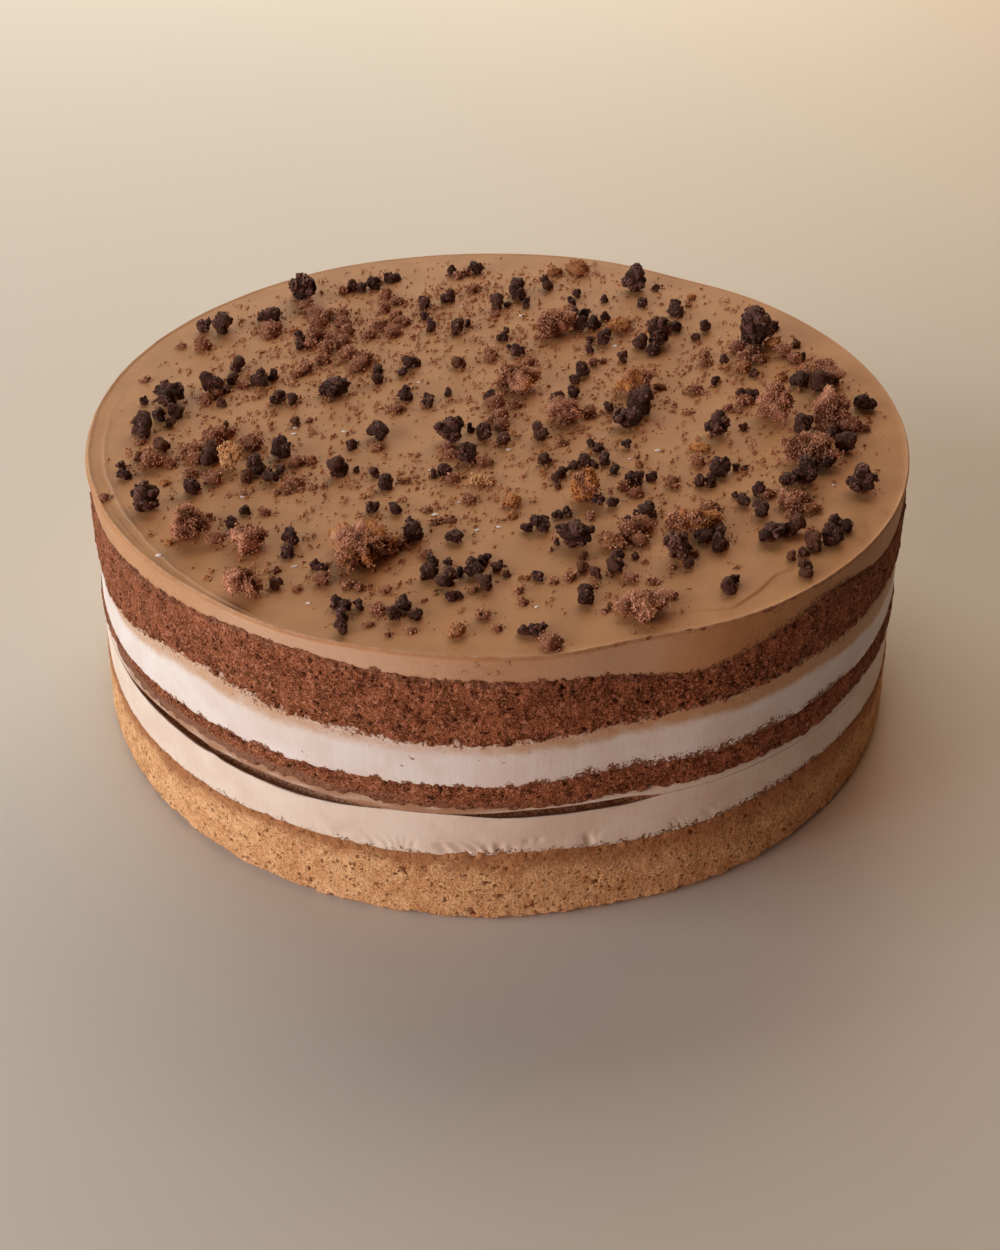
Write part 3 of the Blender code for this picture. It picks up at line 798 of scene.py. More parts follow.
z -= 0.35 * MM * np.clip(1.0 - inward / (0.35 * MM), 0.0, 1.0) ** 2
side, along = beside_path(x, y, STEP_CREASE)
step_high = 0.35 * MM * np.sin(np.pi * np.clip(along, 0.03, 0.97)) ** 0.5
z += step_high * eased(side, -0.5 * MM, 0.4 * MM) * np.exp(-np.clip(side, 0.0, None) / (6.0 * MM))
for path in KNIFE_MARKS:
    side, along = beside_path(x, y, path)
    pressed = 0.13 * MM * peak(side, 0.0, 1.2 * MM) - 0.09 * MM * peak(side, 2.2 * MM, 1.4 * MM)
    z += pressed * np.sin(np.pi * along)

# The side hangs from the grid's border, taken once round from +X.
face_index = np.arange(z.size).reshape(z.shape)
border = np.concatenate((face_index[-1, halfway:-1], face_index[:0:-1, -1], face_index[0, :0:-1],
                         face_index[:-1, 0], face_index[-1, :halfway]))
turn = rim_turn[:-1]
edge_height = z.ravel()[border]
down = np.linspace(0.0, 1.0, TOP_SIDE_ROWS + 1)[1:, None]
height = edge_height * (1.0 - down) + (lower_rim[1] - OVERLAP) * down
below = edge_height - height
above = height - lower_rim[1]
radius = between_rims(upper_rim, lower_rim, height)
side_at = on_side(radius, turn, height)
side_bearing = bearing_of(turn)
torn = 0.8 * MM * layered(side_at, (0.5, 3.5, 111), (0.7, 1.3, 112))
swollen = 0.5 * MM * swell(side_bearing, (-70, 40, 1.0)) * peak(below, 1.0 * MM, 1.0 * MM)
radius = radius + wiped(side_at, 113) * eased(below, 0.0, 1.5 * MM) + swollen
radius = radius - drawn_in(above + torn, CREAM_FALLS_BACK)

UNDERSIDE = 73.65 * MM
inner = on_side(np.full(columns, LEVEL_SHARE * radius.mean()), turn, np.full(columns, UNDERSIDE))
points = np.vstack((np.stack((x, y, z), -1).reshape(-1, 3), on_side(radius, turn, height).reshape(-1, 3),
                    inner, (0.0, 0.0, UNDERSIDE)))
rings = z.size + np.arange((TOP_SIDE_ROWS + 1) * columns).reshape(TOP_SIDE_ROWS + 1, columns)
rings = np.vstack((border, rings))
face_quads = (face_index[:-1, :-1], face_index[1:, :-1], face_index[1:, 1:], face_index[:-1, 1:])
quads = np.vstack((np.stack(face_quads, -1).reshape(-1, 4), ring_faces(rings)))
top_body = new_mesh("top_cream_body", points, quads, fan_faces(rings[-1], len(points) - 1, False))

# Crumb along the torn edge at the front right, dragged up from the sponge, and in spots; the side below the
# edge is paler at the front.
bitten = eased(clouds(side_at, 2.2 * MM, 118), -0.1, 0.35)
crust = bitten * swell(side_bearing, (30, 20, 1.0), (85, 8, 0.5))
crust = crust * eased(below + 0.5 * MM * clouds(side_at, 0.9 * MM, 114), 0.9 * MM, 0.1 * MM)
drag_reach = (1.0 + swell(side_bearing, (40, 14, 3.5), (-170, 40, 2.1))) * MM
dragged = above + 1.2 * MM * clouds(side_at, (1.3 * MM, 1.3 * MM, 8.0 * MM), 115)
dragged = 0.8 * eased(dragged, drag_reach, 0.0)
spots = eased(clouds(side_at, 2.4 * MM, 117), -0.2, 0.6)
spots = spots * swell(side_bearing, (-1, 7, 0.36), (38, 12, 0.324))
face_crust = swell(bearing, (30, 20, 0.9)) * eased(clouds(at, 2.2 * MM, 118), -0.1, 0.35)
face_crust = face_crust * eased(inward + 0.4 * MM * clouds(at, 0.9 * MM, 114), 0.6 * MM, 0.0)
paler = eased(below, 0.0, 0.8 * MM) * (0.85 + 0.15 * clouds(side_at, 7.0 * MM, 116))
paler = paler * (0.42 + swell(side_bearing, (-20, 14, 0.72), (14, 7, 0.648), (36, 14, -0.36)))
side_drag = np.maximum(np.maximum(crust, spots), dragged)
hidden = np.zeros(columns + 1)
# The lip's painted highlight goes in with the stain, whose mocha colour is paler.
give(top_body, drag=np.concatenate((face_crust.ravel(), side_drag.ravel(), hidden)),
     stain=np.concatenate((0.85 * lip_share.ravel(), paler.ravel(), hidden)), crest=np.zeros(len(points)))
# Its stain colour also paints the lip's highlight.
mocha_cream = cream_material(
    "mocha cream", pale=(0.52, 0.253, 0.110), deep=(0.46, 0.216, 0.091), stain=(0.63, 0.395, 0.265),
    drag=(0.21, 0.080, 0.038), roughness=0.6, dots=0.0)
put_in("top_cream_body", top_body, mocha_cream, "mocha_cream", "top_cream")

# ----------------------------------------------------------------------------------------- cocoa nuggets
# The largest pebbles of dark cocoa crumble: grains of baked cocoa dough that have clumped together, dry and
# matt. They are dropped on the cream and have sunk in a little.

SINKS = 0.25 * MM                       # how deep the lowest point of a crumb is in the cream


def ball_grid(rings, columns):
    """Unit directions over a ball, from the top pole by rings to the bottom pole, and its faces."""
    polar = np.pi * np.arange(1, rings + 1)[:, None] / (rings + 1)
    turn = 2 * np.pi * np.arange(columns)[None, :] / columns
    ring = on_side(np.sin(polar), turn, np.cos(polar) + 0 * turn).reshape(-1, 3)
    directions = np.vstack(((0.0, 0.0, 1.0), ring, (0.0, 0.0, -1.0)))
    index = 1 + np.arange(rings * columns).reshape(rings, columns)
    ends = np.vstack((fan_faces(index[0], 0, True), fan_faces(index[-1], len(directions) - 1, False)))
    return directions, ring_faces(index), ends


def any_way_up(count, draw):
    """Random rotations, from random unit quaternions."""
    four = draw.normal(size=(count, 4))
    w, x, y, z = (four / np.linalg.norm(four, axis=1, keepdims=True)).T
    return np.stack((
        1 - 2 * (y * y + z * z), 2 * (x * y - w * z), 2 * (x * z + w * y),
        2 * (x * y + w * z), 1 - 2 * (x * x + z * z), 2 * (y * z - w * x),
        2 * (x * z - w * y), 2 * (y * z + w * x), 1 - 2 * (x * x + y * y)), -1).reshape(count, 3, 3)


def clumps(directions, count, lobes, draw):
    """How far clumps of grains reach in each direction: to the outermost of a few balls of radius 0.30 to
    0.52 whose middles lie 0.34 to 0.58 off the clump's own; the farthest reach is 1."""
    middles = draw.normal(size=(count, lobes, 3))
    middles *= draw.uniform(0.34, 0.58, (count, lobes, 1)) / np.linalg.norm(middles, axis=2, keepdims=True)
    radii = draw.uniform(0.30, 0.52, (count, lobes, 1))
    towards = middles @ directions.T
    square = radii ** 2 - np.sum(middles ** 2, axis=2, keepdims=True) + towards ** 2
    hits = np.where(square > 0.0, towards + np.sqrt(np.maximum(square, 0.0)), 0.0)
    reach = np.maximum(hits.max(axis=1), 0.36)
    return reach / reach.max(axis=1, keepdims=True)


def grains(centres, radii, rings, columns, lumps, seed, lobes=0):
    """Rough balls at centres: in every direction each reaches radius * (1 + lumps * a broad and a fine
    random field), or that of a clump. Gives their points and faces, ready to be joined."""
    draw = np.random.default_rng(seed)
    directions, quads, ends = ball_grid(rings, columns)
    turned = np.einsum("nij,vj->nvi", any_way_up(len(centres), draw), directions)
    field_at = directions[None] + draw.uniform(0.0, LATTICE, (len(centres), 1, 3))
    reach = 1.0 + lumps * (0.65 * clouds(field_at, 0.8, seed + 1) + 0.35 * clouds(field_at, 0.3, seed + 2))
    if lobes:
        reach = reach * clumps(directions, len(centres), lobes, draw)
    points = centres[:, None] + np.asarray(radii)[:, None, None] * reach[..., None] * turned
    step = np.arange(len(centres))[:, None, None] * len(directions)
    return points, (quads + step).reshape(-1, 4), (ends + step).reshape(-1, 3)


BIT_POINTS = 7


def bits(centres, radii, seed):
    """Granules of BIT_POINTS points, and ten faces, each."""
    return grains(centres, radii, rings=1, columns=BIT_POINTS - 2, lumps=0.9, seed=seed)


def with_bits(own, each):
    """Numbers for a piece's own points, and after them one number for all the points of each granule."""
    return np.concatenate((own, np.repeat(each, BIT_POINTS)))


def joined(*shapes):
    """Several shapes' points and faces as one."""
    starts = np.cumsum([0] + [shape[0].reshape(-1, 3).shape[0] for shape in shapes])
    points = np.vstack([shape[0].reshape(-1, 3) for shape in shapes])
    quads = np.vstack([shape[1] + start for shape, start in zip(shapes, starts)])
    ends = np.vstack([shape[2] + start for shape, start in zip(shapes, starts)])
    return points, quads, ends


def crumb_core(node, rings, columns, share):
    """The CAD crumb's own form, finer and shrunk to a share: from its middle it reaches, in each direction,
    the mean of the CAD points' reach weighted by exp(40 * (cosine - 1)). Gives its points, its faces and its
    middle."""
    points = cad_points(node)
    middle = 0.5 * (points.min(axis=0) + points.max(axis=0))
    reach = np.linalg.norm(points - middle, axis=1)
    towards = (points - middle) / reach[:, None]
    directions, quads, ends = ball_grid(rings, columns)
    weight = np.exp(40.0 * (directions @ towards.T - 1.0))
    smooth = (weight @ reach) / weight.sum(axis=1)
    return middle + share * smooth[:, None] * directions, quads, ends, middle


def settled(points, node):
    """Points shrunk where they would stand out of the CAD crumb's box by more than half a millimetre, and
    moved down so that they rest just in the cream."""
    low, high = (np.array(corner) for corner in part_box(node))
    middle = 0.5 * (points.min(axis=0) + points.max(axis=0))
    room = (high - low + 1.0 * MM) / (points.max(axis=0) - points.min(axis=0))
    points = middle + (points - middle) * np.minimum(room, 1.0)
    return points - (0.0, 0.0, points[..., 2].min() - (FACE_LEVEL - SINKS))


def nugget_material(name, dark, light, brown):
    """Dry cocoa dough: painted dark brown in its creases, as shade, and greyish where grains stand out, as a
    highlight; some pieces are browner, and it has fine pale specks and a rough grain."""
    material, tree, place = food(name, roughness=0.75, specular=0.2)
    both = added(tree, noise(tree, place, 1100.0, 4.0, 0.75), noise(tree, place, 3200.0, 2.0))
    # Painted light and shade: the stored number lightens standing grains and darkens creases.
    shaded = added(tree, both, (attribute(tree, "shade"), 0.9))
    colour = blend(tree, ramp(tree, shaded, 1.10, 1.90), dark, light)
    finish_food(tree, blend(tree, attribute(tree, "tone"), colour, brown), both, 0.9 * MM)
    return material


dark_cocoa = nugget_material("dark cocoa crumble", dark=(0.040, 0.014, 0.010), light=(0.40, 0.190, 0.150),
                             brown=(0.26, 0.10, 0.045))
NUGGETS = 15
NUGGET_LUMPS = 26
NUGGET_GRITS_PER_MM = 60.0              # of half the nugget's width
for number in range(1, NUGGETS + 1):
    node = f"cocoa_nugget_{number:02d}"
    low, high = (np.array(corner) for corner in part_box(node))
    size = 0.5 * np.mean(high - low)
    core, quads, ends, middle = crumb_core(node, rings=22, columns=32, share=0.80)
    draw = np.random.default_rng(200 + number)
    picked = draw.choice(len(core), NUGGET_LUMPS, replace=False)
    centres = middle + (core[picked] - middle) * draw.uniform(0.72, 1.0, (NUGGET_LUMPS, 1))
    radii = size * draw.uniform(0.20, 0.40, NUGGET_LUMPS)
    lumps = grains(centres, radii, rings=10, columns=14, lumps=0.45, seed=300 + number)
    lump_points = lumps[0].reshape(-1, 3)
    outermost = lump_points[np.linalg.norm(lump_points - middle, axis=1) > 0.92 * size]
    grit_count = int(NUGGET_GRITS_PER_MM * (size / MM))
    grit_at = outermost[draw.integers(0, len(outermost), grit_count)]
    grit = bits(grit_at, draw.uniform(0.28, 0.70, grit_count) * MM, 330 + number)
    rough = core + (core - middle) * (0.25 * clouds(core, 1.6 * MM, 400 + number))[:, None]
    points, quads, ends = joined((rough, quads, ends), lumps, grit)
    nugget = new_mesh(f"{node}_grains", settled(points, node), quads, ends)
    # Painted shade: the core and the lumps are darker than the granules on them.
    own_shade = np.repeat((0.2, 0.5), (len(rough), len(lump_points)))
    give(nugget, shade=with_bits(own_shade, draw.random(grit_count)),
         tone=np.full(len(points), draw.uniform(0.0, 0.16)))
    put_in(f"{node}_grains", nugget, dark_cocoa, "dark_crumb", node)

# ---------------------------------------------------------------------------------------- cocoa pebbles
# Smaller pebbles of the same crumble, from one grain of 1.5 mm to clumps of 8.5 mm. Each is given by its x,
# the y of its front and its width, in mm, and how brown it is where it is not as dark as the rest.

PEBBLES = (
    (-91.5, 51.5, 5), (-85.5, 51, 7), (-48.5, 83, 4), (-45, 83, 4), (-41, 85, 4.5), (-36.5, 90.5, 4.5),
    (-34, 92, 3), (-72.5, 59.5, 6.5), (-75.5, 60.5, 2.5), (-61.5, 46, 3.5), (-61, 39.5, 3), (-35.5, 18, 4),
    (-35.5, 24, 3.5), (-83, 11.5, 7), (-79.5, 11.5, 2.5), (-78, 17, 4), (-77.5, 25, 5.5), (-70, 16.5, 5.5),
    (-66.5, 19.5, 3.5), (-16.5, 95.5, 4), (-7.5, 98.5, 4.5), (-16.5, 75, 5), (-24.5, 70, 5),
    (-23.5, 62, 3), (-21.5, 54, 4), (-13, 51.5, 5), (-10, 57, 2.5), (5.5, 77, 5.5), (6, 82.5, 6),
    (-0.5, 70, 5.5), (2.5, 71.5, 2.5), (8.5, 71, 3.5), (15.5, 85.5, 5), (25.5, 79.5, 3.5), (34, 75.5, 3),
    (23.5, 74, 3), (22.5, 62, 5.5), (27, 64, 4), (25.5, 54.5, 4.5), (29.5, 55.5, 5), (33.5, 62, 3.5),
    (32.5, 45, 5.5), (28.5, 45.5, 3), (27.5, 38.5, 3), (25, 24.5, 4.5), (23, 19, 3.5), (21.5, 10.5, 4),
    (17, 6, 4), (37.5, 33, 4), (5.5, 36.5, 4.5), (3, 41, 2), (2.5, 53, 2), (1, 47, 3.5),
    (-12, 28.5, 4.5, 0.3), (-26.5, 28, 4.5), (-24.5, 29, 3), (-28.5, 22.5, 3), (-14.5, 11, 2.5),
    (51.5, 85, 2.5), (46, 72, 4), (56.5, 66, 5.5), (56.5, 72.5, 3.5), (64.5, 54, 4.5), (61, 48, 3),
    (43.5, 42.5, 5), (47, 38.5, 4.5), (55, 54.5, 4), (86.5, 56, 3.5), (91.5, 44, 3, 0.3),
    (92.5, 35.5, 2.5), (68, 32.5, 3, 0.1), (64, 19, 3), (76, 24, 3, 0.1), (70.5, 12, 3), (74, 10, 3.5),
    (89, 17.5, 5.5), (95, 15, 7, 0.1), (100.5, 21, 4), (105.5, 3.5, 6), (-102, 4, 3), (-96, -5.5, 4),
    (-91.5, -3, 4.5), (-92, -9, 3), (-92, -23, 4.5, 0.25), (-97.5, -28, 3, 0.3), (-99.5, -37.5, 3.5),
    (-101, -33, 3), (-99.5, -14, 7), (-77.5, -29.5, 6), (-80.5, -44.5, 4.5), (-65, -33.5, 5.5),
    (-66.5, -39, 4, 0.25), (-59, -25, 6), (-60, -39, 4.5), (-58.5, -34, 3), (-40, -20.5, 3.5),
    (-42.5, -35, 6), (-38, -33, 2), (-32.5, -53.5, 3.5), (-33, -15, 6), (-63.5, 5, 4.5), (-59.5, 4.5, 3.5),
    (-79.5, 3.5, 3, 0.2), (-76.5, -8.5, 2), (-57, -8, 3, 0.2), (-65, -54.5, 3), (-67, -63, 4),
    (-51.5, -68.5, 4.5), (-52, -74.5, 3.5), (-53, -88, 3, 0.2), (-44.5, -80, 3), (-42.5, -81.5, 3.5),
    (-38, -96, 3.5), (-35.5, -97, 3.5), (-36.5, -101.5, 4), (-36, -106, 4), (-32.5, -96.5, 3),
    (-27, 8, 4.5), (-27, 14, 2.5), (-20.5, 4, 3.5), (-20.5, 8, 3), (-2.5, 6, 4), (-8, -10.5, 3),
    (-4, -15, 5), (1.5, -18, 4), (12, -16, 5.5), (12.5, -28.5, 4.5), (40.5, 1, 8.5), (31.5, 1.5, 3.5),
    (26, -19, 3), (27.5, -22, 3), (29, -28, 4), (31.5, -32.5, 3), (24, -29, 4), (20.5, -30, 3),
    (26, -30, 3), (17.5, -34.5, 3), (15.5, -37.5, 3), (16, -41, 2, 0.3), (26.5, -49.5, 3.5),
    (30, -50, 3.5), (35, -38, 4), (37.5, -38.5, 4), (41, -36.5, 3), (35.5, -19.5, 3), (-29, -41.5, 5),
    (-33, -35.5, 3), (-26, -54, 4), (-14.5, -34.5, 4), (-17, -35.5, 2.5), (-8.5, -28, 5.5), (11, -62, 5),
    (7.5, -62, 3), (15.5, -55.5, 3), (18, -55, 3), (33.5, -59, 3), (39, -55, 5), (36, -55.5, 2.5),
    (69, -8.5, 2.5, 0.2), (59.5, -33.5, 6), (64, -31, 2.5), (66.5, -30.5, 2), (53.5, -39, 4),
    (56.5, -39.5, 3.5), (96, -20, 6), (93, -12.5, 4), (77.5, -39.5, 5), (88.5, -29.5, 5), (86, -10.5, 6),
    (68.5, -44, 4), (64.5, -49, 4), (62.5, -45, 2), (67.5, -54.5, 5), (76, -62, 5, 0.2), (47, -78, 3, 0.1),
    (34.5, -74, 2), (52, -66, 4.5), (55.5, -69.5, 5), (56, -64, 4), (73.5, -63.5, 4), (79, -69, 5, 0.2),
    (84, -66.5, 6), (86, -59.5, 4), (89.5, -61, 3.5), (73, -74.5, 3, 0.3), (76, -72.5, 3, 0.1),
    (75.5, -81, 4.5, 0.15), (55.5, -89, 4), (57, -85.5, 3.5), (42.5, -91, 2), (-21.5, -67, 6.5),
    (-22, -60, 3), (-10.5, -67.5, 4), (15, -68, 2), (29, -80.5, 4.5), (29.5, -75.5, 3.5),
    (21, -80, 3, 0.35), (21, -75, 3, 0.35), (24, -82.5, 3, 0.15), (21.5, -93.5, 5), (10, -84, 3),
    (-2.5, -75.5, 2.5), (1, -77, 1.5), (0.5, -80, 3), (2.5, -82, 2, 0.2), (-6, -82.5, 5), (-4, -78, 3),
    (-2.5, -87.5, 4.5, 0.1), (-16.5, -83.5, 4.5), (-16, -78, 3.5), (-12, -86.5, 5), (-9, -82, 2.5),
    (-12, -78, 2.5), (-11, -92.5, 3), (-9, -91.5, 2.5), (-22, -96.5, 4), (-24, -101, 4), (-19, -100, 4),
    (6.5, -106.5, 3), (9.5, -106, 4), (27, -95.5, 2, 0.3))
FRONT_SHARE = 0.18                      # a crumb's middle lies this share of its width behind its front
PEBBLE_GRITS_PER_MM2 = 1.6


def laid_out(rows):
    """A table of crumbs by columns: x and y of each one's middle, its width, and its share of colour, which
    is 0 where the table gives none."""
    x, front, width, colour = np.array([(*row, 0.0)[:4] for row in rows]).T
    return x * MM, (front + FRONT_SHARE * width) * MM, width * MM, colour


draw = np.random.default_rng(500)
x, y, width, brown = laid_out(PEBBLES)
pebble_at = np.stack((x, y, face_level(x, y) - SINKS + 0.44 * width), -1)
shapes = grains(pebble_at, 0.60 * width, rings=12, columns=18, lumps=0.30, seed=510, lobes=8)
each = shapes[0].shape[1]
grit_count = np.rint(PEBBLE_GRITS_PER_MM2 * (width / MM) ** 2).astype(int)
of_pebble = np.repeat(np.arange(len(width)), grit_count)
picked = draw.integers(0, each, len(of_pebble))
grit_at = pebble_at[of_pebble] + 0.93 * (shapes[0][of_pebble, picked] - pebble_at[of_pebble])
grit_radius = np.minimum(draw.uniform(0.25, 0.66, len(of_pebble)) * MM, 0.15 * width[of_pebble])
grit = bits(grit_at, grit_radius, 520)
points, quads, ends = joined(shapes, grit)
pebbles = new_mesh("cocoa_pebbles", points, quads, ends)
tone = np.clip(2.2 * brown + np.clip(draw.normal(0.02, 0.10, len(width)), 0.0, 0.3), 0.0, 0.9)
# Painted highlight: the granules are lighter on average than the pebbles under them.
give(pebbles, shade=with_bits(np.full(len(width) * each, 0.35), draw.random(len(of_pebble))),
     tone=with_bits(np.repeat(tone, each), tone[of_pebble]))
put_in("cocoa_pebbles", pebbles, dark_cocoa, "dark_crumb")

# ---------------------------------------------------------------------------------------- sponge chunks
# The largest torn pieces of cocoa sponge: a soft, granular crumb, pinkish brown, painted dark in its holes
# as shade and lighter on its crests as a highlight. Some have golden sponge on them.


def loose_sponge_material(name, light, dark, tone):
    """Torn sponge: each granule between a light and a dark colour, by a stored number that holds painted
    light and shade as well as a random tone, with a rough grain, and of another tone where it is golden."""
    material, tree, place = food(name, roughness=0.9, specular=0.12)
    grain = noise(tree, place, 1800.0, 3.0, 0.7)
    mixed = added(tree, attribute(tree, "shade"), grain)
    colour = blend(tree, ramp(tree, mixed, 0.40, 1.40), dark, light)
    finish_food(tree, blend(tree, attribute(tree, "golden"), colour, tone), grain, 0.45 * MM)
    return material


loose_crumb = loose_sponge_material("torn cocoa sponge", light=(0.74, 0.37, 0.24),
                                    dark=(0.155, 0.046, 0.018), tone=(0.66, 0.28, 0.085))
CHUNKS = 16
CHUNK_GRITS_PER_MM2 = 7.5
GOLDEN_SHARE = {4: 0.15, 5: 0.42, 9: 0.65, 10: 0.15, 12: 0.15, 14: 0.5, 15: 0.5, 16: 0.35}     # by number
for number in range(1, CHUNKS + 1):
    node = f"sponge_chunk_{number:02d}"
    low, high = (np.array(corner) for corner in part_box(node))
    core, quads, ends, middle = crumb_core(node, rings=30, columns=46, share=0.86)
    torn = layered(core, (0.46, 4.2, 600 + number), (0.40, 1.9, 620 + number), (0.16, 0.9, 630 + number))
    rough = core + (core - middle) * torn[:, None]
    draw = np.random.default_rng(640 + number)
    long, wide, tall = (high - low) / MM
    area = long * wide * 0.8 + 1.6 * (long + wide) * tall * 0.6
    count = int(CHUNK_GRITS_PER_MM2 * area)
    spread = np.hypot(*(core - middle)[:, :2].T)
    picked = draw.choice(len(core), count, p=spread / spread.sum())
    centres = middle + (rough[picked] - middle) * draw.uniform(0.94, 1.10, (count, 1))
    centres = centres + draw.normal(0.0, 0.35 * MM, (count, 3))
    centres[:, 2] = np.maximum(centres[:, 2], FACE_LEVEL + 0.2 * MM)
    grit = bits(centres, draw.uniform(0.14, 0.38, count) * MM, 700 + number)
    points, quads, ends = joined((rough, quads, ends), grit)
    chunk = new_mesh(f"{node}_torn", settled(points, node), quads, ends)
    # Painted light and shade: lighter where the torn form stands out, darker in its hollows.
    grit_shade = np.clip(draw.uniform(0.1, 1.0, count) + 1.1 * torn[picked], 0.0, 1.2)
    share = GOLDEN_SHARE.get(number, 0.0)
    golden_part = eased(clouds(points, 4.0 * MM, 720 + number), 0.7 - 1.6 * share, 1.0 - share)
    give(chunk, shade=with_bits(np.clip(0.1 + 1.2 * torn, 0.0, 1.0), grit_shade), golden=0.85 * golden_part)
    put_in(f"{node}_torn", chunk, loose_crumb, "sponge_crumb", node)

# ---------------------------------------------------------------------------------------- sponge crumbs
# Smaller torn crumbs of the same sponge, thickest at the back left, where they lie as a mat: x, the y of
# the front and the width, in mm, and how golden, for those that are.

CRUMBS = (
    (-81.5, 59.5, 2, 0.6), (-71, 49.5, 8.5), (-91, 39.5, 6.5), (-97, 40.5, 3), (-75, 15, 3.5),
    (-51, 81, 4), (-104, 18, 2.5), (-62, 68, 6), (-58.5, 62, 6), (-57, 55, 6), (-55, 61, 5), (-50, 62, 6),
    (-49, 55, 6), (-47, 50, 5), (-52, 47, 5), (-57, 47, 6), (-58, 41, 5), (-53, 37, 6), (-48, 41, 6),
    (-46, 33.5, 7), (-53, 31, 6), (-41, 31, 7), (-57, 25, 5), (-60, 22, 4), (-42, 26, 6), (-37, 78, 5),
    (-33, 74, 5), (-37, 68, 5), (-33, 62, 5), (-38, 55, 6), (-33, 50, 6), (-40, 48, 5), (-30, 58, 5),
    (-14, 94, 4), (-11, 97, 4), (-9, 83, 5), (-1, 64.5, 2.5), (26.5, 98.5, 8, 0.4), (18.5, 97, 5.5, 0.4),
    (38, 54.5, 8, 0.6), (-2.5, 33, 4), (-2.5, 36.5, 4), (9, 31, 5, 0.1), (28.5, 31, 4), (31.5, 33, 3),
    (62.5, 78.5, 3.5, 0.7), (61, 73, 2.5, 0.4), (62.5, 36, 4, 0.1), (62, 31, 4), (73, 40, 6), (77, 38, 6),
    (74, 33, 6), (79, 33, 5), (73, 27, 5, 0.2), (84.5, 44, 5, 0.5), (87, 41, 4), (87, 37, 5), (90, 33, 5),
    (68.5, 28.5, 3, 0.5), (84, 22, 4, 0.3), (57.5, 13, 5.5), (47.5, 16, 3.5), (71.5, 6.5, 5.5),
    (-99, -18.5, 3), (-92.5, -31.5, 8), (-88.5, -30.5, 4), (-75, -39.5, 6), (-82, -36.5, 5),
    (-79, -17.5, 8), (-83.5, -24, 6), (-82, -29, 6), (-76, -15, 6), (-68, -21.5, 8), (-66.5, -45.5, 2.5),
    (-54.5, -30, 4.5), (-51, -28.5, 4, 0.2), (-53.5, -40.5, 5), (-84, 5, 5), (-81.5, 8.5, 4),
    (-53.5, -5.5, 2.5), (-74.5, -57.5, 4, 0.1), (-102.5, -48, 3), (-88, -40, 2.5, 0.5),
    (-39, -59.5, 1.5, 0.9), (-60, -54.5, 3.5), (-70, -69, 5), (-82, -69, 2, 0.8), (-54, -81, 2.5, 0.1),
    (-48, -89, 2.5, 0.1), (-42.5, -86, 4.5), (-28, -97.5, 4), (-29.5, -103, 2.5), (-36, -88, 3),
    (-33, -88.5, 3), (-0.5, 2.5, 6.5), (0, -4.5, 6.5), (1, -9.5, 5.5), (5, 4, 4), (26, -1, 5),
    (-14, -22, 5), (-12, -25, 5), (-3.5, -29, 4.5), (-7.5, -48, 4.5), (4, -50, 6, 0.55), (4, -55, 3, 0.5),
    (24, -56, 3.5), (33.5, -41, 4), (36.5, -44.5, 4), (38, -24.5, 2), (38.5, -29.5, 2.5, 0.2),
    (-15.5, -58.5, 3), (-12, -58, 3), (-29, 1, 5), (-33, -21, 4, 0.2), (17.5, -17.5, 3.5),
    (-24.5, -38, 3, 0.3), (-11.5, -38, 4), (-18.5, -53, 3), (54.5, 0.5, 3, 0.2), (55.5, -20.5, 4.5, 0.75),
    (54, -28.5, 5.5, 0.1), (46.5, -40, 5), (94, -9, 6), (99, -9.5, 7), (103, -8.5, 4), (70.5, -44.5, 5),
    (81.5, -52.5, 5, 0.2), (76, -54.5, 4), (79.5, -62, 3), (55, -53, 6.5), (66, 3, 3), (69, 2, 3),
    (36.5, -61, 7, 0.1), (33, -65, 6), (36, -68, 5), (29.5, -70, 7.5, 0.15), (23.5, -87, 3, 0.2),
    (18, -83.5, 4), (14, -85, 2.5), (32.5, -84, 4), (37.5, -85, 3), (6, -83, 2, 0.4), (7.5, -83.5, 2, 0.4),
    (-5.5, -89, 2.5), (-27.5, -98.5, 4), (-26.5, -89.5, 3, 0.1), (-25, -107, 2), (-19.5, -105.5, 2.5),
    (-9, -106.5, 5, 0.25), (-3, -100, 4.5), (0.5, -104.5, 2.5), (5.5, -89, 2.5), (6.5, -93.5, 3),
    (12.5, -111, 5.5), (13.5, -71, 1.5), (25.5, -97, 2), (-18, -74, 4), (-24, -69, 2.5), (49, -72.5, 3),
    (43, -78.5, 2, 0.2), (36.5, -76, 2, 0.2), (59, -78, 2, 0.3), (-58, -44.5, 2), (-55, -44, 2.5),
    (-52, -43, 2), (-49, -42, 2.5), (-46, -41, 2))


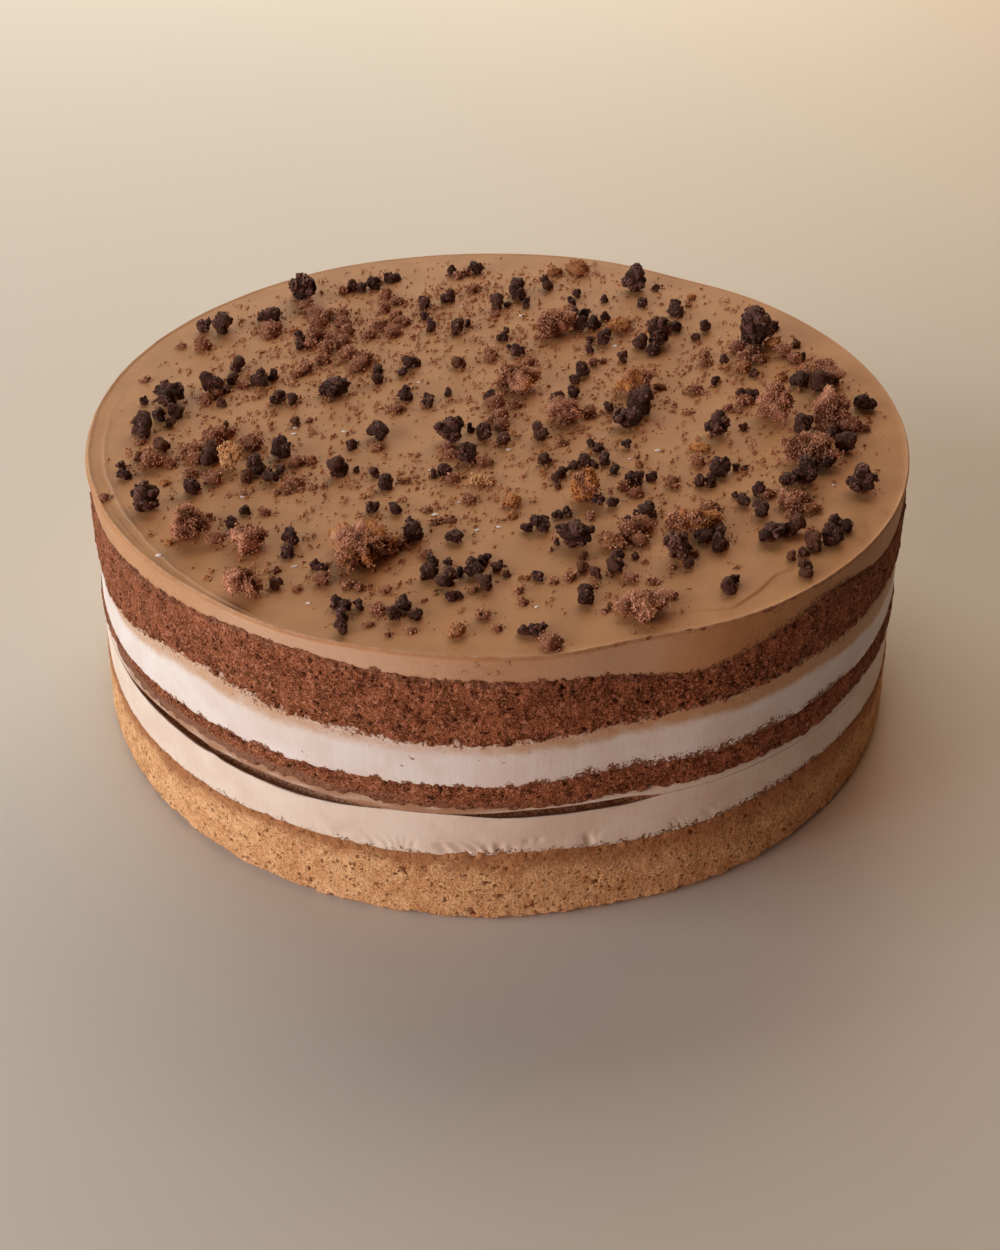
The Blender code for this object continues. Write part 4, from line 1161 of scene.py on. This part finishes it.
def torn_crumbs(name, rows, grits_per_mm2, seed):
    """One mesh of torn crumbs: each is a rough, low ball with granules all over it and a few beside it."""
    draw = np.random.default_rng(seed)
    x, y, width, gold = laid_out(rows)
    tall = width * draw.uniform(0.50, 0.78, len(width))
    centres = np.stack((x, y, face_level(x, y) - SINKS + 0.42 * tall), -1)
    points, quads, ends = grains(centres, 0.5 * width, rings=6, columns=10, lumps=0.9, seed=seed + 1)
    long = draw.uniform(0.85, 1.05, len(width))
    wide = draw.uniform(0.70, 0.95, len(width))
    scale = np.stack((long, wide, tall / width), -1)
    points = centres[:, None] + (points - centres[:, None]) * scale[:, None] * 0.86
    each = np.rint(grits_per_mm2 * (width / MM) ** 2 + 3.0).astype(int)
    of_crumb = np.repeat(np.arange(len(width)), each)
    picked = draw.integers(0, points.shape[1], len(of_crumb))
    spread = draw.uniform(0.90, 1.12, (len(of_crumb), 1))
    bit_centres = centres[of_crumb] + (points[of_crumb, picked] - centres[of_crumb]) * spread
    bit_centres = bit_centres + draw.normal(0.0, 0.30 * MM, (len(of_crumb), 3))
    bit_centres[:, 2] = np.maximum(bit_centres[:, 2], FACE_LEVEL)
    grit = bits(bit_centres, draw.uniform(0.14, 0.42, len(of_crumb)) * MM, seed + 2)
    mesh = new_mesh(name, *joined((points, quads, ends), grit))
    # Painted shade: each crumb's ball is darker than the granules on it.
    own_shade = np.full(len(width) * points.shape[1], 0.25)
    give(mesh, shade=with_bits(own_shade, draw.uniform(0.15, 1.0, len(of_crumb))),
         golden=with_bits(np.repeat(gold, points.shape[1]), gold[of_crumb]))
    return mesh


sponge_crumbs = torn_crumbs("sponge_crumbs", CRUMBS, grits_per_mm2=3.2, seed=800)
put_in("sponge_crumbs", sponge_crumbs, loose_crumb, "sponge_crumb")

# ----------------------------------------------------------------------------------------- golden flake
# One flake of the golden sponge that stands on its tip, leaning back, at the left: a ragged triangle 6.4 mm
# wide, 6.5 mm high and 2 mm thick. A golden stick of it, 5.6 mm long, lies near the middle.

# Of each: x, y, width, thickness and height in mm, its lean in degrees, and how much its tip narrows.
FLAKES = ((-72.5, -30.5, 6.4, 2.0, 6.5, 25.0, 0.6), (-3.6, -38.6, 5.6, 1.8, 1.9, 0.0, 0.0))
FLAKE_GRITS = 900
golden_parts = []
for number, (x, y, wide, thick, high, lean, tip) in enumerate(FLAKES):
    directions, quads, ends = ball_grid(20, 30)
    squared = np.sign(directions) * np.abs(directions) ** 0.75
    jagged = 1.0 + 0.50 * clouds(directions + number, 0.45, 820 + number)
    slab = squared * jagged[:, None] * (0.5 * wide * MM, 0.5 * thick * MM, 0.5 * high * MM)
    narrowed = 1.0 - tip * np.clip(0.5 - slab[:, 2] / (high * MM), 0.0, 1.0)
    slab[:, 0] *= narrowed
    leaned = np.radians(lean)
    back = slab[:, 1] * np.cos(leaned) + slab[:, 2] * np.sin(leaned)
    up = slab[:, 2] * np.cos(leaned) - slab[:, 1] * np.sin(leaned)
    low = FACE_LEVEL - SINKS - up.min()
    golden_parts.append((np.stack((slab[:, 0] + x * MM, back + y * MM, up + low), -1), quads, ends))
flake_points = np.vstack([part[0] for part in golden_parts])
draw = np.random.default_rng(825)
picked = draw.integers(0, len(flake_points), FLAKE_GRITS)
grit_at = flake_points[picked] + draw.normal(0.0, 0.25 * MM, (FLAKE_GRITS, 3))
grit = bits(grit_at, draw.uniform(0.16, 0.40, FLAKE_GRITS) * MM, 826)
golden_flakes = new_mesh("golden_flakes", *joined(*golden_parts, grit))
# Painted shade: the flakes are darker than the granules on them.
shade = with_bits(np.full(len(flake_points), 0.3), draw.uniform(0.1, 1.0, FLAKE_GRITS))
give(golden_flakes, shade=shade, golden=np.zeros(len(shade)))
golden_torn = loose_sponge_material("torn golden sponge", light=(0.96, 0.62, 0.34), dark=(0.60, 0.27, 0.10),
                                    tone=(0.9, 0.5, 0.2))
put_in("golden_flakes", golden_flakes, golden_torn, "sponge_crumb")

# ------------------------------------------------------------------------------------------ fine crumbs
# What the chunks and pebbles shed: loose little heaps of fine granules, half a millimetre to two and a half
# across, that the cream has wetted reddish. They lie thick round the larger crumbs and at the back left.
# Patches are x, y, spread and count; lengths in mm.

PATCHES = (
    (-77, -20, 8, 130), (-93, -27, 5, 50), (-55, -33, 7, 60), (-75, -58, 9, 60), (-58, -83, 6, 50),
    (-32, -68, 8, 110), (-10, -52, 8, 70), (-8, -30, 9, 120), (-28, -38, 8, 70), (-25, -90, 9, 50),
    (-48, -42, 9, 70), (48, -56, 10, 100), (36, -94, 7, 50), (20, -32, 9, 80), (24, -8, 9, 80),
    (40, 0, 8, 50), (60, -22, 8, 60), (78, -30, 8, 70), (80, 2, 12, 110), (96, -2, 8, 60), (92, 25, 8, 70),
    (72, 38, 9, 100), (56, 18, 9, 70), (36, 18, 9, 70), (20, 55, 10, 120), (40, 55, 9, 80),
    (6, 28, 9, 110), (-2, 8, 8, 80), (-50, 28, 16, 300), (-30, 50, 18, 260), (-62, 55, 16, 220),
    (-15, 70, 12, 160), (-6, 85, 9, 110), (24, 92, 10, 90), (-80, 15, 12, 120), (-70, -5, 14, 100),
    (-45, 5, 16, 140), (10, -10, 14, 90), (5, 60, 14, 110), (50, 85, 12, 50), (-40, 78, 14, 110),
    (64, 60, 12, 60))
STRAY_CRUMBS = 420
STRAYS_REACH = 108                      # from the middle of the face, in mm, and that of any loose crumb
CRUMBS_REACH = 111


def sprinkle(patches, strays, smallest, largest, seed):
    """Random places: bell-shaped round each patch, and strays all over the face. Also their radii, each half
    of smallest * (largest / smallest) to a random power, so that most are small."""
    draw = np.random.default_rng(seed)
    x, y, spread, count = np.array(patches).T
    of_patch = np.repeat(np.arange(len(count)), count.astype(int))
    east = draw.normal(x[of_patch], spread[of_patch])
    away = STRAYS_REACH * np.sqrt(draw.random(strays))
    turn = draw.uniform(0.0, 2 * np.pi, strays)
    north = draw.normal(y[of_patch], spread[of_patch])
    east = np.append(east, away * np.cos(turn))
    north = np.append(north, away * np.sin(turn))
    radius = 0.5 * smallest * (largest / smallest) ** (draw.random(len(east)) ** 1.8)
    kept = np.hypot(east, north) < CRUMBS_REACH
    return east[kept] * MM, north[kept] * MM, radius[kept]


# Each heap is a granule and a few more, scattered over it in a bell shape.
x, y, radius = sprinkle(PATCHES, STRAY_CRUMBS, smallest=0.5 * MM, largest=2.6 * MM, seed=900)
draw = np.random.default_rng(920)
each = np.rint(1.0 + 3.7 * (radius / (0.6 * MM)) ** 1.4).astype(int)
heap = np.repeat(np.arange(len(x)), each)
off = draw.normal(0.0, 0.46, (3, len(heap))) * radius[heap]
granule = np.minimum(draw.uniform(0.15, 0.37, len(heap)) * MM, 0.65 * radius[heap])
x, y = x[heap] + off[0], y[heap] + off[1]
at = np.stack((x, y, face_level(x, y) + 0.35 * granule + 1.2 * np.abs(off[2])), -1)
points, quads, ends = bits(at, granule, 910)
wet_crumb = loose_sponge_material("wet cocoa crumb", light=(0.62, 0.27, 0.145), dark=(0.34, 0.125, 0.058),
                                  tone=(0.66, 0.30, 0.11))
fine_crumbs = new_mesh("fine_crumbs", points.reshape(-1, 3), quads, ends)
shade = np.repeat(draw.uniform(0.2, 1.0, len(heap)), BIT_POINTS)
golden_heap = np.where(draw.random(len(radius)) < 0.08, 0.8, draw.uniform(0.0, 0.25, len(radius)))
give(fine_crumbs, shade=shade, golden=np.repeat(golden_heap[heap], BIT_POINTS))
put_in("fine_crumbs", fine_crumbs, wet_crumb, "sponge_crumb")

# ------------------------------------------------------------------------------------------- crumb dust
# The finest grains, about a third of a millimetre across, in a halo round every chunk, nugget and crumb and
# round every other pebble.

DUST_PER_MM = 2.2                       # of a crumb's width
large_ones = [f"sponge_chunk_{number:02d}" for number in range(1, CHUNKS + 1)]
large_ones += [f"cocoa_nugget_{number:02d}" for number in range(1, NUGGETS + 1)]
boxes = [np.array(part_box(node)) for node in large_ones]
large = [(*(0.5 * (low + high)[:2] / MM), np.mean((high - low)[:2]) / MM) for low, high in boxes]
small = [(x, front + FRONT_SHARE * width, width) for x, front, width, *colour in CRUMBS + PEBBLES[::2]]
x, y, width = np.array(large + small).T * MM
draw = np.random.default_rng(940)
of_crumb = np.repeat(np.arange(len(width)), np.rint(DUST_PER_MM * width / MM).astype(int))
turn = draw.uniform(0.0, 2 * np.pi, len(of_crumb))
away = 0.5 * width[of_crumb] + draw.exponential(1.0 * MM + 0.12 * width[of_crumb])
x, y = x[of_crumb] + away * np.cos(turn), y[of_crumb] + away * np.sin(turn)
kept = np.hypot(x, y) < CRUMBS_REACH * MM
x, y = x[kept], y[kept]
radius = draw.uniform(0.10, 0.26, len(x)) * MM
dust_at = np.stack((x, y, face_level(x, y) + 0.2 * radius), -1)
points, quads, ends = grains(dust_at, radius, rings=1, columns=4, lumps=0.5, seed=941)
dust = new_mesh("crumb_dust", points.reshape(-1, 3), ends)
give(dust, shade=np.repeat(draw.uniform(0.2, 0.9, len(x)), points.shape[1]),
     golden=np.repeat(draw.uniform(0.0, 0.3, len(x)), points.shape[1]))
put_in("crumb_dust", dust, wet_crumb, "sponge_crumb")

# ------------------------------------------------------------------------------------------ cream specks
# Flecks of the palest cream that have dropped on the face from the knife, a millimetre or so across, and
# settled flat: x and y, in mm.

SPECKS = (
    (-23.5, 19), (10, 14), (-12, 72), (-66.5, -46), (-57, -9), (-57, -12.5), (-43, -11), (3, -20.5),
    (-10, -48), (-5, -61.5), (0.5, -60), (-16, -54.5), (-18, -31.5), (36, -25), (44, -20.5), (9.5, -95),
    (-44.5, -94), (-49.5, -78.5), (-83.5, -74), (89.5, -38), (36, 44), (7, 65))
FLATTENED = (1.2, 0.8, 0.5)
x, y = np.array(SPECKS).T * MM
draw = np.random.default_rng(930)
centres = np.stack((x, y, face_level(x, y)), -1)
radii = draw.uniform(0.45, 0.85, len(x)) * MM
points, quads, ends = grains(centres, radii, rings=6, columns=9, lumps=0.6, seed=931)
points = centres[:, None] + (points - centres[:, None]) * FLATTENED
cream_specks = new_mesh("cream_specks", points.reshape(-1, 3), quads, ends)
put_in("cream_specks", cream_specks, palest_cream, "pale_cream")
